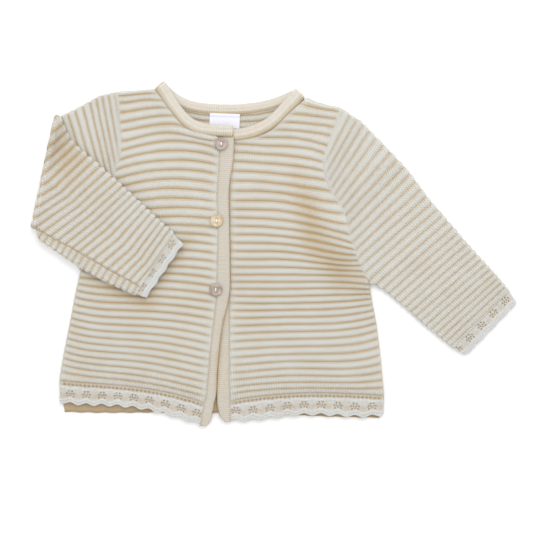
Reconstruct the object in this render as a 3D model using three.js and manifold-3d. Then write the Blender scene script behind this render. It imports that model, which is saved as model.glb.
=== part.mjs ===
// A baby's ribbed cardigan laid flat, one sleeve folded over the front.
// Millimetres, +Z up, +Y toward the neck, +X toward the wearer's left sleeve.
// The garment is a flat bag: the back lies on the surface, the fronts lie on the back, and every
// piece is a knitted wall. Outlines are the garment's as it lies, from short tables.
import * as THREE from "three";
import { mergeVertices } from "three/addons/utils/BufferGeometryUtils.js";
import Module from "manifold-3d";

const wasm = await Module();
wasm.setup();

// ---- driving dimensions -------------------------------------------------------------------
const WALL = 2.0; // thickness of the ribbed knit
const LACE_WALL = 1.6; // thickness of the pointelle edging
const HOLLOW = 1.2; // space between the front and the back wall of the flat bag
const SEAM = 0.3; // clearance between pieces that are sewn together
const INSET = WALL / 2 + 0.15; // from the garment's outline to the middle of the wall
const RISE = (WALL + HOLLOW) / 2; // from the bag's middle plane to the middle of a wall
const BAG_MID = WALL + HOLLOW / 2; // height of the bag's middle plane
const FLAP_MID = 3 * BAG_MID + SEAM; // middle plane of the forearm that lies on the front
const FOLD_RADIUS = (FLAP_MID - BAG_MID) / 2; // of the sleeve's middle plane round its fold
const OVERLAP_LIFT = 1.4; // how far the upper front rises to lie on the other front's band
const OVERLAP_DIP = 0.9; // how far the lower front sinks under it
const NECK_LIFT = 1.0; // how much more the upper front rises over the end of the neckband
const OVERLAP_LOW = { y: -74, reach: 50, least: 0.2 }; // where the overlap flattens toward the hem
const NECK_LIFT_FROM = { y: 82, reach: 12 }; // where the rise to the neckband starts
const LIFT_REACH = 24; // width over which a front rises or sinks to its overlapping edge
const LIFT_FROM_RIGHT = -74; // the x where the right front starts to rise
const LIFT_FROM_LEFT = -12; // the x where the left front starts to sink
const FRONT_MIDDLE = -44; // the x of the line where the fronts meet
const NECKBAND_THICKNESS = 3.0;
const BUTTON_RADIUS = 5.6;
const BUTTON_THICKNESS = 2.6;
const BUTTON_HOLE_RADIUS = 0.9;
const BUTTON_HOLE_OFFSET = 1.6; // from the button's centre to each hole's
const LABEL_THICKNESS = 0.3;
const EDGE_ANGLES = [0, 45, 90]; // stations round the turn of a folded edge, in degrees
const ARMPIT_RIB = 21; // the rib that ends at the armpit
const BAND_RIB = 4.6; // the first rib that ends at a front band
const FOLD_STEPS = 6; // steps of a sleeve round its elbow fold
const NECKBAND_SIDES = 8;

// ---- materials ----------------------------------------------------------------------------
const matt = (color) => new THREE.MeshStandardMaterial({ color, roughness: 0.95, metalness: 0 });
const ribKnit = matt(0xe6e0d2);
const bandKnit = matt(0xe2dacb);
const neckRib = matt(0xf0ece0);
const pointelle = matt(0xebe7db);
const tape = matt(0xdcdcec);
const buttonShell = new THREE.MeshStandardMaterial({ color: 0xbfae9c, roughness: 0.3, metalness: 0 });

// ---- tables -------------------------------------------------------------------------------
// A row of a front follows one rib, counted down from the shoulder. "out" is the rib's end at the
// armhole or side and "in" its end at the neckline or front band. The rises are how far the rib
// bows above the straight line between its ends, at a quarter, a half and three quarters of it.
const frontRightRows = [
  { rib: -0.5, outX: -134.0, outY: 139.5, inX: -102.6, inY: 142.0, rise1: -0.3, rise2: -0.4, rise3: -0.3 },
  { rib: 1, outX: -133.0, outY: 129.5, inX: -95.0, inY: 131.5, rise1: 0, rise2: 0.9, rise3: 0.9 },
  { rib: 3, outX: -132.0, outY: 112.5, inX: -84.6, inY: 118.0, rise1: 1.0, rise2: 1.7, rise3: 1.7 },
  { rib: 4, outX: -131.5, outY: 105.0, inX: -76.5, inY: 109.0, rise1: 1.7, rise2: 3.2, rise3: 3.4 },
  { rib: 4.3, outX: -131.3, outY: 102.7, inX: -66.0, inY: 103.3, rise1: 3.2, rise2: 4.7, rise3: 5.0 },
  { rib: 4.6, outX: -131.0, outY: 100.0, inX: -47.0, inY: 100.0, rise1: 4.4, rise2: 6.4, rise3: 2.4 },
  { rib: 6, outX: -131.5, outY: 88.5, inX: -47.0, inY: 90.0, rise1: 5.0, rise2: 7.5, rise3: 5.6 },
  { rib: 8, outX: -136.0, outY: 71.5, inX: -47.5, inY: 75.5, rise1: 5.3, rise2: 6.8, rise3: 5.4 },
  { rib: 11, outX: -147.0, outY: 45.0, inX: -49.0, inY: 52.5, rise1: 5.2, rise2: 7.0, rise3: 5.0 },
  { rib: 14, outX: -156.0, outY: 21.0, inX: -48.5, inY: 29.5, rise1: 4.4, rise2: 6.0, rise3: 4.6 },
  { rib: 17, outX: -161.5, outY: 4.0, inX: -48.5, inY: 7.5, rise1: 3.8, rise2: 5.0, rise3: 4.0 },
  { rib: 20, outX: -164.5, outY: -8.5, inX: -49.0, inY: -14.5, rise1: 1.8, rise2: 1.9, rise3: 2.0 },
  { rib: 21, outX: -166.5, outY: -14.5, inX: -49.0, inY: -21.5, rise1: 1.3, rise2: 2.2, rise3: 2.4 },
  { rib: 24, outX: -170.5, outY: -31.0, inX: -50.0, inY: -41.5, rise1: -1.9, rise2: 0.1, rise3: 1.1 },
  { rib: 28, outX: -175.0, outY: -54.5, inX: -53.5, inY: -70.5, rise1: -1.6, rise2: 0.7, rise3: 1.9 },
  { rib: 32, outX: -179.5, outY: -77.5, inX: -56.0, inY: -97.0, rise1: -1.3, rise2: 1.2, rise3: 1.4 },
  { rib: 36, outX: -183.5, outY: -100.5, inX: -58.5, inY: -122.0, rise1: 0.2, rise2: 2.4, rise3: 2.4 },
  { rib: 37.3, outX: -184.5, outY: -108.5, inX: -60.0, inY: -127.5, rise1: 2.0, rise2: 4.1, rise3: 3.8 },
];
const frontLeftRows = [
  { rib: -0.5, outX: 56.5, outY: 126.2, inX: 27.6, inY: 134.6, rise1: -0.9, rise2: -1.6, rise3: -1.4 },
  { rib: 1, outX: 54.0, outY: 115.5, inX: 12.5, inY: 120.0, rise1: 0.3, rise2: 0.5, rise3: 0.6 },
  { rib: 3, outX: 49.0, outY: 101.0, inX: -1.5, inY: 106.5, rise1: 1.0, rise2: 1.3, rise3: 1.0 },
  { rib: 4, outX: 46.5, outY: 92.5, inX: -14.0, inY: 100.5, rise1: 2.3, rise2: 2.9, rise3: 1.4 },
  { rib: 4.3, outX: 45.5, outY: 90.5, inX: -26.0, inY: 98.2, rise1: 2.8, rise2: 2.9, rise3: 1.5 },
  { rib: 4.6, outX: 44.5, outY: 88.5, inX: -37.9, inY: 97.0, rise1: 3.4, rise2: 2.4, rise3: 0.9 },
  { rib: 6, outX: 42.0, outY: 78.5, inX: -37.9, inY: 87.5, rise1: 2.2, rise2: 1.9, rise3: 1.1 },
  { rib: 8, outX: 44.5, outY: 63.0, inX: -37.9, inY: 71.0, rise1: 1.4, rise2: 1.7, rise3: 1.4 },
  { rib: 11, outX: 60.0, outY: 35.0, inX: -37.9, inY: 46.0, rise1: 0.8, rise2: 3.3, rise3: 2.4 },
  { rib: 14, outX: 67.5, outY: 9.0, inX: -37.9, inY: 24.0, rise1: 3.4, rise2: 4.3, rise3: 3.0 },
  { rib: 17, outX: 72.5, outY: -5.5, inX: -37.9, inY: 3.0, rise1: -0.3, rise2: 2.1, rise3: 1.4 },
  { rib: 20, outX: 79.0, outY: -20.0, inX: -37.9, inY: -18.0, rise1: 0.9, rise2: 1.0, rise3: 0.7 },
  { rib: 21, outX: 82.5, outY: -26.5, inX: -37.9, inY: -24.0, rise1: 1.7, rise2: 1.3, rise3: 0.6 },
  { rib: 24, outX: 84.5, outY: -38.5, inX: -37.9, inY: -42.0, rise1: -1.7, rise2: -1.8, rise3: -1.4 },
  { rib: 28, outX: 88.5, outY: -59.0, inX: -37.9, inY: -68.5, rise1: -3.9, rise2: -2.7, rise3: -1.1 },
  { rib: 32, outX: 92.0, outY: -86.0, inX: -37.9, inY: -95.5, rise1: -3.7, rise2: -1.3, rise3: 0 },
  { rib: 36, outX: 94.5, outY: -114.5, inX: -37.6, inY: -120.0, rise1: 0.5, rise2: 2.3, rise3: 2.6 },
  { rib: 37.3, outX: 95.0, outY: -121.5, inX: -37.5, inY: -126.0, rise1: 2.8, rise2: 4.4, rise3: 3.6 },
];
// The lower edges of the hem, laid out like the rows above.
const hemRight = { outX: -184.5, outY: -128.6, inX: -63.5, inY: -147.5, rise1: 2.1, rise2: 5.1, rise3: 4.1 };
const hemLeft = { outX: 94.5, outY: -139.0, inX: -37.2, inY: -144.0, rise1: -0.4, rise2: 2.1, rise3: 0.4 };
const hemBack = { outX: -180.5, outY: -135.5, inX: 91.0, inY: -140.5, rise1: 0.5, rise2: 1.6, rise3: 0.5 };
const backLastRow = { outX: -184.7, outY: -119.5, inX: 94.8, inY: -124.0, rise1: 0, rise2: 0, rise3: 0 };
const LACE_ROWS = 3; // rows of each strip of hem edging
// The back neckline between the shoulders.
const backNeckline = [
  { x: -102.6, y: 140.8 },
  { x: -93.5, y: 133.0 },
  { x: -78.0, y: 125.0 },
  { x: -62.0, y: 121.8 },
  { x: -38.0, y: 120.6 },
  { x: -14.0, y: 122.4 },
  { x: 2.0, y: 126.0 },
  { x: 15.0, y: 129.6 },
  { x: 27.6, y: 133.4 },
];
// A row of a sleeve is a ring round the arm: its ends on the upper and the under edge, and how far
// its middle bows toward the body. "turn" is how far round the elbow fold it lies.
const sleeveLeftRings = [
  { turn: 0, upX: 74.2, upY: 114.4, lowX: 84.6, lowY: -26.0, bow: 13 },
  { turn: 0, upX: 95.7, upY: 92.7, lowX: 87.5, lowY: -27.8, bow: 7 },
  { turn: 0, upX: 116.2, upY: 70.6, lowX: 91.0, lowY: -29.8, bow: 3 },
  { turn: 0, upX: 134.0, upY: 47.0, lowX: 95.5, lowY: -32.6, bow: 1 },
  { turn: 0, upX: 152.0, upY: 26.0, lowX: 101.5, lowY: -37.5, bow: 0 },
  { turn: 0, upX: 169.5, upY: 5.5, lowX: 113.2, lowY: -47.4, bow: 0 },
  { turn: 0, upX: 186.2, upY: -12.4, lowX: 131.0, lowY: -63.0, bow: 0 },
  { turn: 0, upX: 202.3, upY: -31.5, lowX: 153.2, lowY: -80.9, bow: 0 },
];
const cuffLeft = { turn: 0, upX: 208.4, upY: -41.2, lowX: 163.8, lowY: -87.2, bow: 0 };
const sleeveRightRings = [
  { turn: 0, upX: -150.0, upY: 135.8, lowX: -172.0, lowY: -6.0, bow: 9 },
  { turn: 0, upX: -167.0, upY: 126.5, lowX: -188.0, lowY: 8.0, bow: 4 },
  { turn: 0, upX: -182.8, upY: 118.5, lowX: -203.5, lowY: 21.0, bow: 0 },
  { turn: 1, upX: -182.8, upY: 118.5, lowX: -203.5, lowY: 21.0, bow: 0 },
  { turn: 1, upX: -172.8, upY: 97.2, lowX: -200.8, lowY: 12.5, bow: 0 },
  { turn: 1, upX: -157.8, upY: 83.5, lowX: -195.0, lowY: 8.0, bow: 0 },
  { turn: 1, upX: -136.6, upY: 65.0, lowX: -186.0, lowY: 2.2, bow: 0 },
  { turn: 1, upX: -114.8, upY: 44.8, lowX: -172.0, lowY: -7.5, bow: 0 },
  { turn: 1, upX: -101.8, upY: 32.5, lowX: -150.0, lowY: -20.4, bow: 0 },
  { turn: 1, upX: -92.5, upY: 24.0, lowX: -132.5, lowY: -28.9, bow: 0 },
  { turn: 1, upX: -84.8, upY: 17.0, lowX: -118.0, lowY: -35.3, bow: 0 },
];
const cuffRight = { turn: 1, upX: -77.2, upY: 8.8, lowX: -109.4, lowY: -37.6, bow: 0 };
// The width of each front band at heights down the front.
const bandRightWidths = {
  y: [100, 81, 64, 44, 12, -28, -43, -57, -77, -100, -121, -146],
  width: [13, 12.5, 11, 10.2, 10.6, 11.6, 10.6, 8.6, 7.9, 7.8, 8.8, 8.4],
};
const bandLeftWidths = {
  y: [97, 0, -62, -78, -100, -121, -137, -144],
  width: [7.4, 7.4, 7.2, 7.8, 8.8, 10.0, 9.8, 5],
};
// The middle of the neckband, with the height of its middle and its width as it lies.
const neckFrontRight = [
  { x: -34.6, y: 105.6, z: 7.2, width: 9.2 },
  { x: -44.7, y: 106.0, z: 7.2, width: 9.2 },
  { x: -55.0, y: 106.8, z: 5.4, width: 9.2 },
  { x: -65.4, y: 109.0, z: 4.6, width: 9.2 },
  { x: -74.2, y: 114.2, z: 4.6, width: 9.0 },
  { x: -81.0, y: 121.4, z: 4.6, width: 8.6 },
  { x: -87.2, y: 130.0, z: 4.7, width: 8.4 },
  { x: -91.8, y: 137.4, z: 4.8, width: 8.6 },
];
const neckBack = [
  { x: -92.3, y: 140.2, z: 1.6, width: 8.2 },
  { x: -84.9, y: 134.4, z: 1.6, width: 7.6 },
  { x: -75.3, y: 129.4, z: 1.6, width: 7.2 },
  { x: -62.0, y: 126.3, z: 1.6, width: 7.2 },
  { x: -38.0, y: 125.0, z: 1.6, width: 7.2 },
  { x: -14.0, y: 127.0, z: 1.6, width: 7.2 },
  { x: 0.9, y: 130.6, z: 1.6, width: 7.2 },
  { x: 9.8, y: 133.8, z: 1.6, width: 7.6 },
  { x: 15.6, y: 136.2, z: 1.6, width: 8.0 },
];
const neckFrontLeft = [
  { x: 17.6, y: 134.6, z: 4.8, width: 9.0 },
  { x: 12.4, y: 129.0, z: 4.7, width: 9.2 },
  { x: 5.8, y: 121.7, z: 4.6, width: 9.2 },
  { x: -2.3, y: 113.8, z: 4.6, width: 9.2 },
  { x: -12.4, y: 107.9, z: 4.5, width: 9.2 },
  { x: -22.8, y: 104.4, z: 4.2, width: 9.2 },
  { x: -32.7, y: 102.9, z: 3.8, width: 9.2 },
  { x: -43.0, y: 102.5, z: 3.8, width: 9.0 },
];
// Where the neckband turns over at a shoulder: the middle of the turn, and the way it points.
const neckTurnRight = { x: -95.6, y: 143.4, aheadX: -0.67, aheadY: 0.74, width: 9.0 };
const neckTurnLeft = { x: 19.6, y: 137.2, aheadX: 0.7, aheadY: 0.71, width: 9.0 };
const NECK_TURN_STEPS = 6; // steps of the neckband round its turn over a shoulder
const buttons = [
  { name: "button_top", x: -45.1, y: 94.0, z: 7.9 },
  { name: "button_middle", x: -49.0, y: 28.4, z: 6.9 },
  { name: "button_bottom", x: -49.7, y: -30.6, z: 6.9 },
];
const labelCut = { x: -42.4, y: 114.2, width: 26, height: 12.6, tilt: -2.2 };

// ---- curves through tables ----------------------------------------------------------------
// A smooth curve through places (xs, ys) that never overshoots them: monotone cubic pieces.
function curveThrough(xs, ys) {
  const last = xs.length - 1;
  const slope = (i) => (ys[i + 1] - ys[i]) / (xs[i + 1] - xs[i]);
  const tangent = xs.map((_, i) => {
    if (i === 0) return slope(0);
    if (i === last) return slope(last - 1);
    const before = slope(i - 1);
    const after = slope(i);
    return before * after <= 0 ? 0 : (2 * before * after) / (before + after);
  });
  const rising = xs[last] > xs[0];
  return (x) => {
    let i = 0;
    while (i < last - 1 && (rising ? x > xs[i + 1] : x < xs[i + 1])) i += 1;
    const span = xs[i + 1] - xs[i];
    const t = (x - xs[i]) / span;
    const rest = 1 - t;
    const ends = rest * rest * (1 + 2 * t) * ys[i] + t * t * (3 - 2 * t) * ys[i + 1];
    return ends + span * t * rest * (rest * tangent[i] - t * tangent[i + 1]);
  };
}

const smoothStep = (t) => THREE.MathUtils.smoothstep(t, 0, 1);

// A row of a table between two others: each named column is mixed.
function mixRows(a, b, share) {
  const mixed = {};
  for (const key of Object.keys(a)) mixed[key] = THREE.MathUtils.lerp(a[key], b[key] ?? a[key], share);
  return mixed;
}

// The place on a row at a share of its length from the outer end.
function rowPlace(row, share) {
  const rise = curveThrough([0, 0.25, 0.5, 0.75, 1], [0, row.rise1, row.rise2, row.rise3, 0]);
  const x = THREE.MathUtils.lerp(row.outX, row.inX, share);
  const y = THREE.MathUtils.lerp(row.outY, row.inY, share) + rise(share);
  return new THREE.Vector2(x, y);
}

const outerEnd = (row) => new THREE.Vector2(row.outX, row.outY);

// ---- the form of the flat bag ---------------------------------------------------------------
const turnDistances = EDGE_ANGLES.map((angle) => RISE * (1 - Math.cos(THREE.MathUtils.degToRad(angle))));

// The outline where front and back meet: the shoulders, and the sides down from the armpits.
const shoulderOf = (rows) => [0, 0.25, 0.5, 0.75, 1].map((share) => rowPlace(rows[0], share));
const sideOf = (rows, ...hems) => [...rows.filter((row) => row.rib >= ARMPIT_RIB), ...hems].map(outerEnd);
const foldedEdges = [
  shoulderOf(frontRightRows),
  shoulderOf(frontLeftRows),
  sideOf(frontRightRows, hemRight, hemBack),
  sideOf(frontLeftRows, hemLeft, { outX: hemBack.inX, outY: hemBack.inY }),
];

// The nearest place on the folded edges: how far it is, and the way out to it.
function toFoldedEdge(place) {
  let nearest = { distance: Infinity };
  for (const edge of foldedEdges) {
    for (let i = 0; i + 1 < edge.length; i += 1) {
      const along = edge[i + 1].clone().sub(edge[i]);
      const share = THREE.MathUtils.clamp(place.clone().sub(edge[i]).dot(along) / along.lengthSq(), 0, 1);
      const out = edge[i].clone().addScaledVector(along, share).sub(place);
      const distance = out.length();
      if (distance < nearest.distance) nearest = { distance, out: out.divideScalar(distance) };
    }
  }
  return nearest;
}

// The middle of a wall whose edge turns over: "beyond" is the distance from where the turn starts,
// "out" the way to it, and side is 1 on the upper wall and -1 on the lower.
function turnedWall(beyond, side, edgeGap) {
  const angle = Math.acos(THREE.MathUtils.clamp(1 - beyond / RISE, 0, 1));
  const height = side * (edgeGap + (RISE - edgeGap) * Math.sin(angle));
  return { height, outShare: Math.cos(angle), upShare: side * Math.sin(angle) };
}

// How far the opening edge of each front is lifted or sunk where the fronts overlap.
const overlapFade = (y) => 1 - (1 - OVERLAP_LOW.least) * smoothStep((OVERLAP_LOW.y - y) / OVERLAP_LOW.reach);
const neckLift = (y) => NECK_LIFT * smoothStep((y - NECK_LIFT_FROM.y) / NECK_LIFT_FROM.reach);
const riseRight = (x) => smoothStep((x - LIFT_FROM_RIGHT) / LIFT_REACH);
const liftRight = (x, y) => (OVERLAP_LIFT * overlapFade(y) + neckLift(y)) * riseRight(x);
const liftLeft = (x, y) => -OVERLAP_DIP * overlapFade(y) * smoothStep((LIFT_FROM_LEFT - x) / LIFT_REACH);
const noLift = () => 0;

// The middle and the normal of the body's wall over a place; side is 1 on a front, -1 on the back.
function bodyWall(place, side, lift = noLift) {
  const { distance, out } = toFoldedEdge(place);
  const { height, outShare, upShare } = turnedWall(distance - INSET, side, SEAM / 2);
  return {
    middle: new THREE.Vector3(place.x, place.y, BAG_MID + height + lift(place.x, place.y)),
    normal: new THREE.Vector3(out.x * outShare, out.y * outShare, upShare),
  };
}

// ---- closed solids --------------------------------------------------------------------------
function solidFrom(positions, faces) {
  const geometry = new THREE.BufferGeometry();
  geometry.setAttribute("position", new THREE.Float32BufferAttribute(positions, 3));
  const corner = (i) => new THREE.Vector3().fromArray(positions, 3 * i);
  let volume = 0;
  for (let i = 0; i < faces.length; i += 3) {
    volume += corner(faces[i]).dot(corner(faces[i + 1]).cross(corner(faces[i + 2])));
  }
  if (volume < 0) faces.reverse();
  geometry.setIndex(faces);
  geometry.computeVertexNormals();
  return geometry;
}

// A wall over a grid of middles and normals. A ringed grid closes on itself along its columns.
function wallSolid(grid, thickness, ringed = false) {
  const rows = grid.length;
  const columns = grid[0].length;
  const offsetPoint = ({ middle, normal }, side) => middle.clone().addScaledVector(normal, side * thickness);
  const faceAt = (side) => grid.flat().flatMap((spot) => offsetPoint(spot, side).toArray());
  const positions = [0.5, -0.5].flatMap(faceAt);
  const at = (side, row, column) => (side * rows + row) * columns + (column % columns);
  const faces = [];
  const quad = (a, b, c, d) => faces.push(a, b, c, a, c, d);
  const columnSteps = ringed ? columns : columns - 1;
  for (let c = 0; c < columnSteps; c += 1) {
    for (let r = 0; r + 1 < rows; r += 1) {
      quad(at(0, r, c), at(0, r, c + 1), at(0, r + 1, c + 1), at(0, r + 1, c));
      quad(at(1, r, c), at(1, r + 1, c), at(1, r + 1, c + 1), at(1, r, c + 1));
    }
    quad(at(0, 0, c), at(1, 0, c), at(1, 0, c + 1), at(0, 0, c + 1));
    quad(at(0, rows - 1, c + 1), at(1, rows - 1, c + 1), at(1, rows - 1, c), at(0, rows - 1, c));
  }
  for (let r = 0; !ringed && r + 1 < rows; r += 1) {
    const end = columns - 1;
    quad(at(0, r + 1, 0), at(1, r + 1, 0), at(1, r, 0), at(0, r, 0));
    quad(at(0, r, end), at(1, r, end), at(1, r + 1, end), at(0, r + 1, end));
  }
  return solidFrom(positions, faces);
}

// A solid through closed sections, with a flat end on the first and the last.
function sectionSolid(sections) {
  const sides = sections[0].length;
  const positions = sections.flat().flatMap((point) => point.toArray());
  const faces = [];
  for (let s = 0; s + 1 < sections.length; s += 1) {
    for (let i = 0; i < sides; i += 1) {
      const a = s * sides + i;
      const b = s * sides + ((i + 1) % sides);
      faces.push(a, b, b + sides, a, b + sides, a + sides);
    }
  }
  const last = (sections.length - 1) * sides;
  for (let i = 1; i + 1 < sides; i += 1) {
    faces.push(0, i + 1, i, last, last + i, last + i + 1);
  }
  return solidFrom(positions, faces);
}

// ---- the body's panels ----------------------------------------------------------------------
// The rows of a front with the ones that its turned edges need: under the shoulder line, and
// above the armpit, where the armhole ends on the folded side.
function panelRows(table) {
  const armpit = table.findIndex((row) => row.rib === ARMPIT_RIB);
  const gapBetween = (a, b) => outerEnd(a).distanceTo(outerEnd(b));
  const shoulder = { ...table[0], outY: table[0].outY - INSET, inY: table[0].inY - INSET };
  const shoulderGap = gapBetween(shoulder, table[1]);
  const underShoulder = turnDistances.map((d) => mixRows(shoulder, table[1], d / shoulderGap));
  const above = table[armpit - 1];
  const armholeEnd = mixRows(table[armpit], above, INSET / gapBetween(table[armpit], above));
  const aboveArmpit = turnDistances.map((d) => mixRows(armholeEnd, above, d / gapBetween(armholeEnd, above)));
  return [...underShoulder, ...table.slice(1, armpit), ...aboveArmpit.reverse(), ...table.slice(armpit)];
}

const frontShares = [0.12, 0.25, 0.38, 0.5, 0.62, 0.75, 0.88, 1]; // stations along a row of a front
const startOf = (row) => ((row.rib ?? ARMPIT_RIB) >= ARMPIT_RIB ? INSET : SEAM / 2);
const lengthOf = (row) => Math.hypot(row.inX - row.outX, row.inY - row.outY);

// The places along one row of a front: the turn of its outer end, then shares of its length.
function frontPlaces(row) {
  const turned = turnDistances.map((d) => (startOf(row) + d) / lengthOf(row));
  return [...turned, ...frontShares].map((share) => rowPlace(row, share));
}

function frontGrid(rows, lift) {
  return rows.map((row) => frontPlaces(row).map((place) => bodyWall(place, 1, lift)));
}

// The rows of a strip of edging under a panel's last row.
function edgingRows(top, bottom) {
  const start = SEAM / Math.abs(top.inY - bottom.inY);
  const shares = Array.from({ length: LACE_ROWS }, (_, i) => start + ((1 - start) * i) / (LACE_ROWS - 1));
  return shares.map((share) => mixRows({ ...top, rib: ARMPIT_RIB }, { ...bottom, rib: ARMPIT_RIB }, share));
}

// A row right across the back, from the fronts' rows on both sides. Near the neck it follows the
// shoulders and the neckline, and this bend fades out down the back.
const BEND_FADE_RIB = 12;
const shoulderShares = [0.35, 0.7]; // stations of the back along each shoulder
function backRow(right, left) {
  const ends = {
    start: startOf(right),
    out: outerEnd(right),
    in: outerEnd(left),
  };
  const fade = Math.max(0, 1 - (right.rib + 0.5) / BEND_FADE_RIB) ** 2;
  return { ...ends, fade };
}
const rightTop = panelRows(frontRightRows);
const leftTop = panelRows(frontLeftRows);
const topLine = [
  ...shoulderShares.map((share) => rowPlace(rightTop[0], share)),
  ...backNeckline.map(({ x, y }) => new THREE.Vector2(x, y)),
  ...shoulderShares.map((share) => rowPlace(leftTop[0], 1 - share)),
];

function backPlaces({ start, out, in: end, fade }) {
  const span = out.distanceTo(end);
  const way = end.clone().sub(out).divideScalar(span);
  const turnedLeft = turnDistances.map((d) => out.clone().addScaledVector(way, start + d));
  const turnedRight = turnDistances.map((d) => end.clone().addScaledVector(way, -(start + d))).reverse();
  const topOut = outerEnd(rightTop[0]);
  const topEnd = outerEnd(leftTop[0]);
  const middle = topLine.map((top) => {
    const share = (top.x - topOut.x) / (topEnd.x - topOut.x);
    const straight = out.clone().lerp(end, share);
    const bend = top.clone().sub(topOut.clone().lerp(topEnd, share));
    return straight.addScaledVector(bend, fade);
  });
  return [...turnedLeft, ...middle, ...turnedRight];
}

function tableRowPlaces(row) {
  const end = new THREE.Vector2(row.inX, row.inY);
  const places = backPlaces({ start: startOf(row), out: outerEnd(row), in: end, fade: 0 });
  const rise = curveThrough([0, 0.25, 0.5, 0.75, 1], [0, row.rise1, row.rise2, row.rise3, 0]);
  return places.map((place) => {
    const share = THREE.MathUtils.clamp((place.x - row.outX) / (row.inX - row.outX), 0, 1);
    return new THREE.Vector2(place.x, place.y + rise(share));
  });
}

const backWall = (places) => places.map((place) => bodyWall(place, -1));

function backGrid() {
  const rows = rightTop.slice(0, -1).map((right, i) => backPlaces(backRow(right, leftTop[i])));
  return [...rows, tableRowPlaces(backLastRow)].map(backWall);
}

// ---- the sleeves ----------------------------------------------------------------------------
// One side of an armhole from the shoulder to the armpit, half a seam out from the panels' edge.
function armholePlaces(rows) {
  return rows.filter((row) => row.rib < ARMPIT_RIB).map((row) => rowPlace(row, -SEAM / 2 / lengthOf(row)));
}

// Where a sleeve's rings have their stations: distances at the turned edges, shares between them.
function ringStations(places) {
  const reach = [0];
  places.slice(1).forEach((place, i) => reach.push(reach[i] + place.distanceTo(places[i])));
  const length = reach[reach.length - 1];
  const turned = turnDistances.length;
  return reach.map((distance, i) => {
    if (i < turned) return { fromUp: turnDistances[i] };
    if (i >= reach.length - turned) return { fromLow: turnDistances[reach.length - 1 - i] };
    return { share: distance / length };
  });
}

// The wall of a sleeve along one ring, on its upper side (1) or its lower side (-1).
function ringSide(ring, stations, side) {
  const up = new THREE.Vector2(ring.upX, ring.upY);
  const low = new THREE.Vector2(ring.lowX, ring.lowY);
  const length = up.distanceTo(low);
  const down = low.clone().sub(up).divideScalar(length);
  const across = new THREE.Vector2(down.y, -down.x); // away from the body on the right sleeve
  const bowWay = Math.sign(FRONT_MIDDLE - (up.x + low.x) / 2) * Math.sign(across.x);
  const turn = Math.PI * ring.turn;
  const upward = new THREE.Vector3(-across.x * Math.sin(turn), -across.y * Math.sin(turn), Math.cos(turn));
  return stations.map(({ fromUp, fromLow, share }) => {
    const fromEdge = fromUp !== undefined ? INSET + fromUp : length - INSET - fromLow;
    const reach = share !== undefined ? share * length : fromEdge;
    const t = reach / length;
    const place = up.clone().addScaledVector(down, reach);
    place.addScaledVector(across, 4 * t * (1 - t) * ring.bow * bowWay);
    const { height, outShare, upShare } = turnedWall(Math.min(reach, length - reach) - INSET, side, SEAM / 2);
    const out = down.clone().multiplyScalar(reach < length / 2 ? -outShare : outShare);
    const radius = FOLD_RADIUS - height;
    place.addScaledVector(across, radius * Math.sin(turn));
    return {
      middle: new THREE.Vector3(place.x, place.y, BAG_MID + FOLD_RADIUS - radius * Math.cos(turn)),
      normal: new THREE.Vector3(out.x, out.y, 0).addScaledVector(upward, upShare),
    };
  });
}

function ringWall(ring, stations) {
  return [...ringSide(ring, stations, 1), ...ringSide(ring, stations, -1).reverse()];
}

// The ring where a sleeve is set into its armhole.
function armholeRing(places) {
  const wallOf = (side) => places.map((place) => bodyWall(place, side));
  return [...wallOf(1), ...wallOf(-1).reverse()];
}

// A sleeve's rings, with more of them round the elbow fold.
function withFoldSteps(rings) {
  return rings.flatMap((ring, i) => {
    const before = rings[i - 1] ?? ring;
    const steps = before.turn === ring.turn ? 1 : FOLD_STEPS;
    return Array.from({ length: steps }, (_, s) => mixRows(before, ring, (s + 1) / steps));
  });
}

function sleevePieces(rows, rings, cuffEdge) {
  const places = armholePlaces(rows);
  const stations = ringStations(places);
  const end = rings[rings.length - 1];
  const cuffLength = Math.hypot(end.upX - cuffEdge.upX, end.upY - cuffEdge.upY);
  const cuffStart = mixRows(end, cuffEdge, SEAM / cuffLength);
  const sleeve = [armholeRing(places), ...withFoldSteps(rings).map((ring) => ringWall(ring, stations))];
  const cuffRings = [cuffStart, mixRows(cuffStart, cuffEdge, 0.5), cuffEdge];
  const cuff = cuffRings.map((ring) => ringWall(ring, stations));
  return { sleeve: wallSolid(sleeve, WALL, true), cuff: wallSolid(cuff, LACE_WALL, true) };
}

// ---- the bands ------------------------------------------------------------------------------
// A front band is sewn to the inner ends of its panel's rows; way is 1 when it reaches toward +X.
function bandGrid(rows, widths, way, lift) {
  const widthAt = curveThrough(widths.y, widths.width);
  return rows.map((row) => {
    const start = row.inX + way * SEAM;
    const width = widthAt(row.inY);
    return [0, 0.5, 1].map((share) => {
      const x = start + way * width * share;
      const middle = new THREE.Vector3(x, row.inY, BAG_MID + RISE + lift(x, row.inY));
      return { middle, normal: new THREE.Vector3(0, 0, 1) };
    });
  });
}

const leftOf = (way) => new THREE.Vector2(-way.y, way.x);

// Stations along one stretch of the neckband; hand is 1 when its seam is on the left of travel.
function neckStretch(table, hand) {
  const centres = table.map(({ x, y }) => new THREE.Vector2(x, y));
  return table.map(({ x, y, z, width }, i) => {
    const before = centres[Math.max(0, i - 1)];
    const after = centres[Math.min(centres.length - 1, i + 1)];
    const seamWay = leftOf(after.clone().sub(before).normalize()).multiplyScalar(hand);
    return { centre: new THREE.Vector3(x, y, z), seamWay, width };
  });
}

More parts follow.
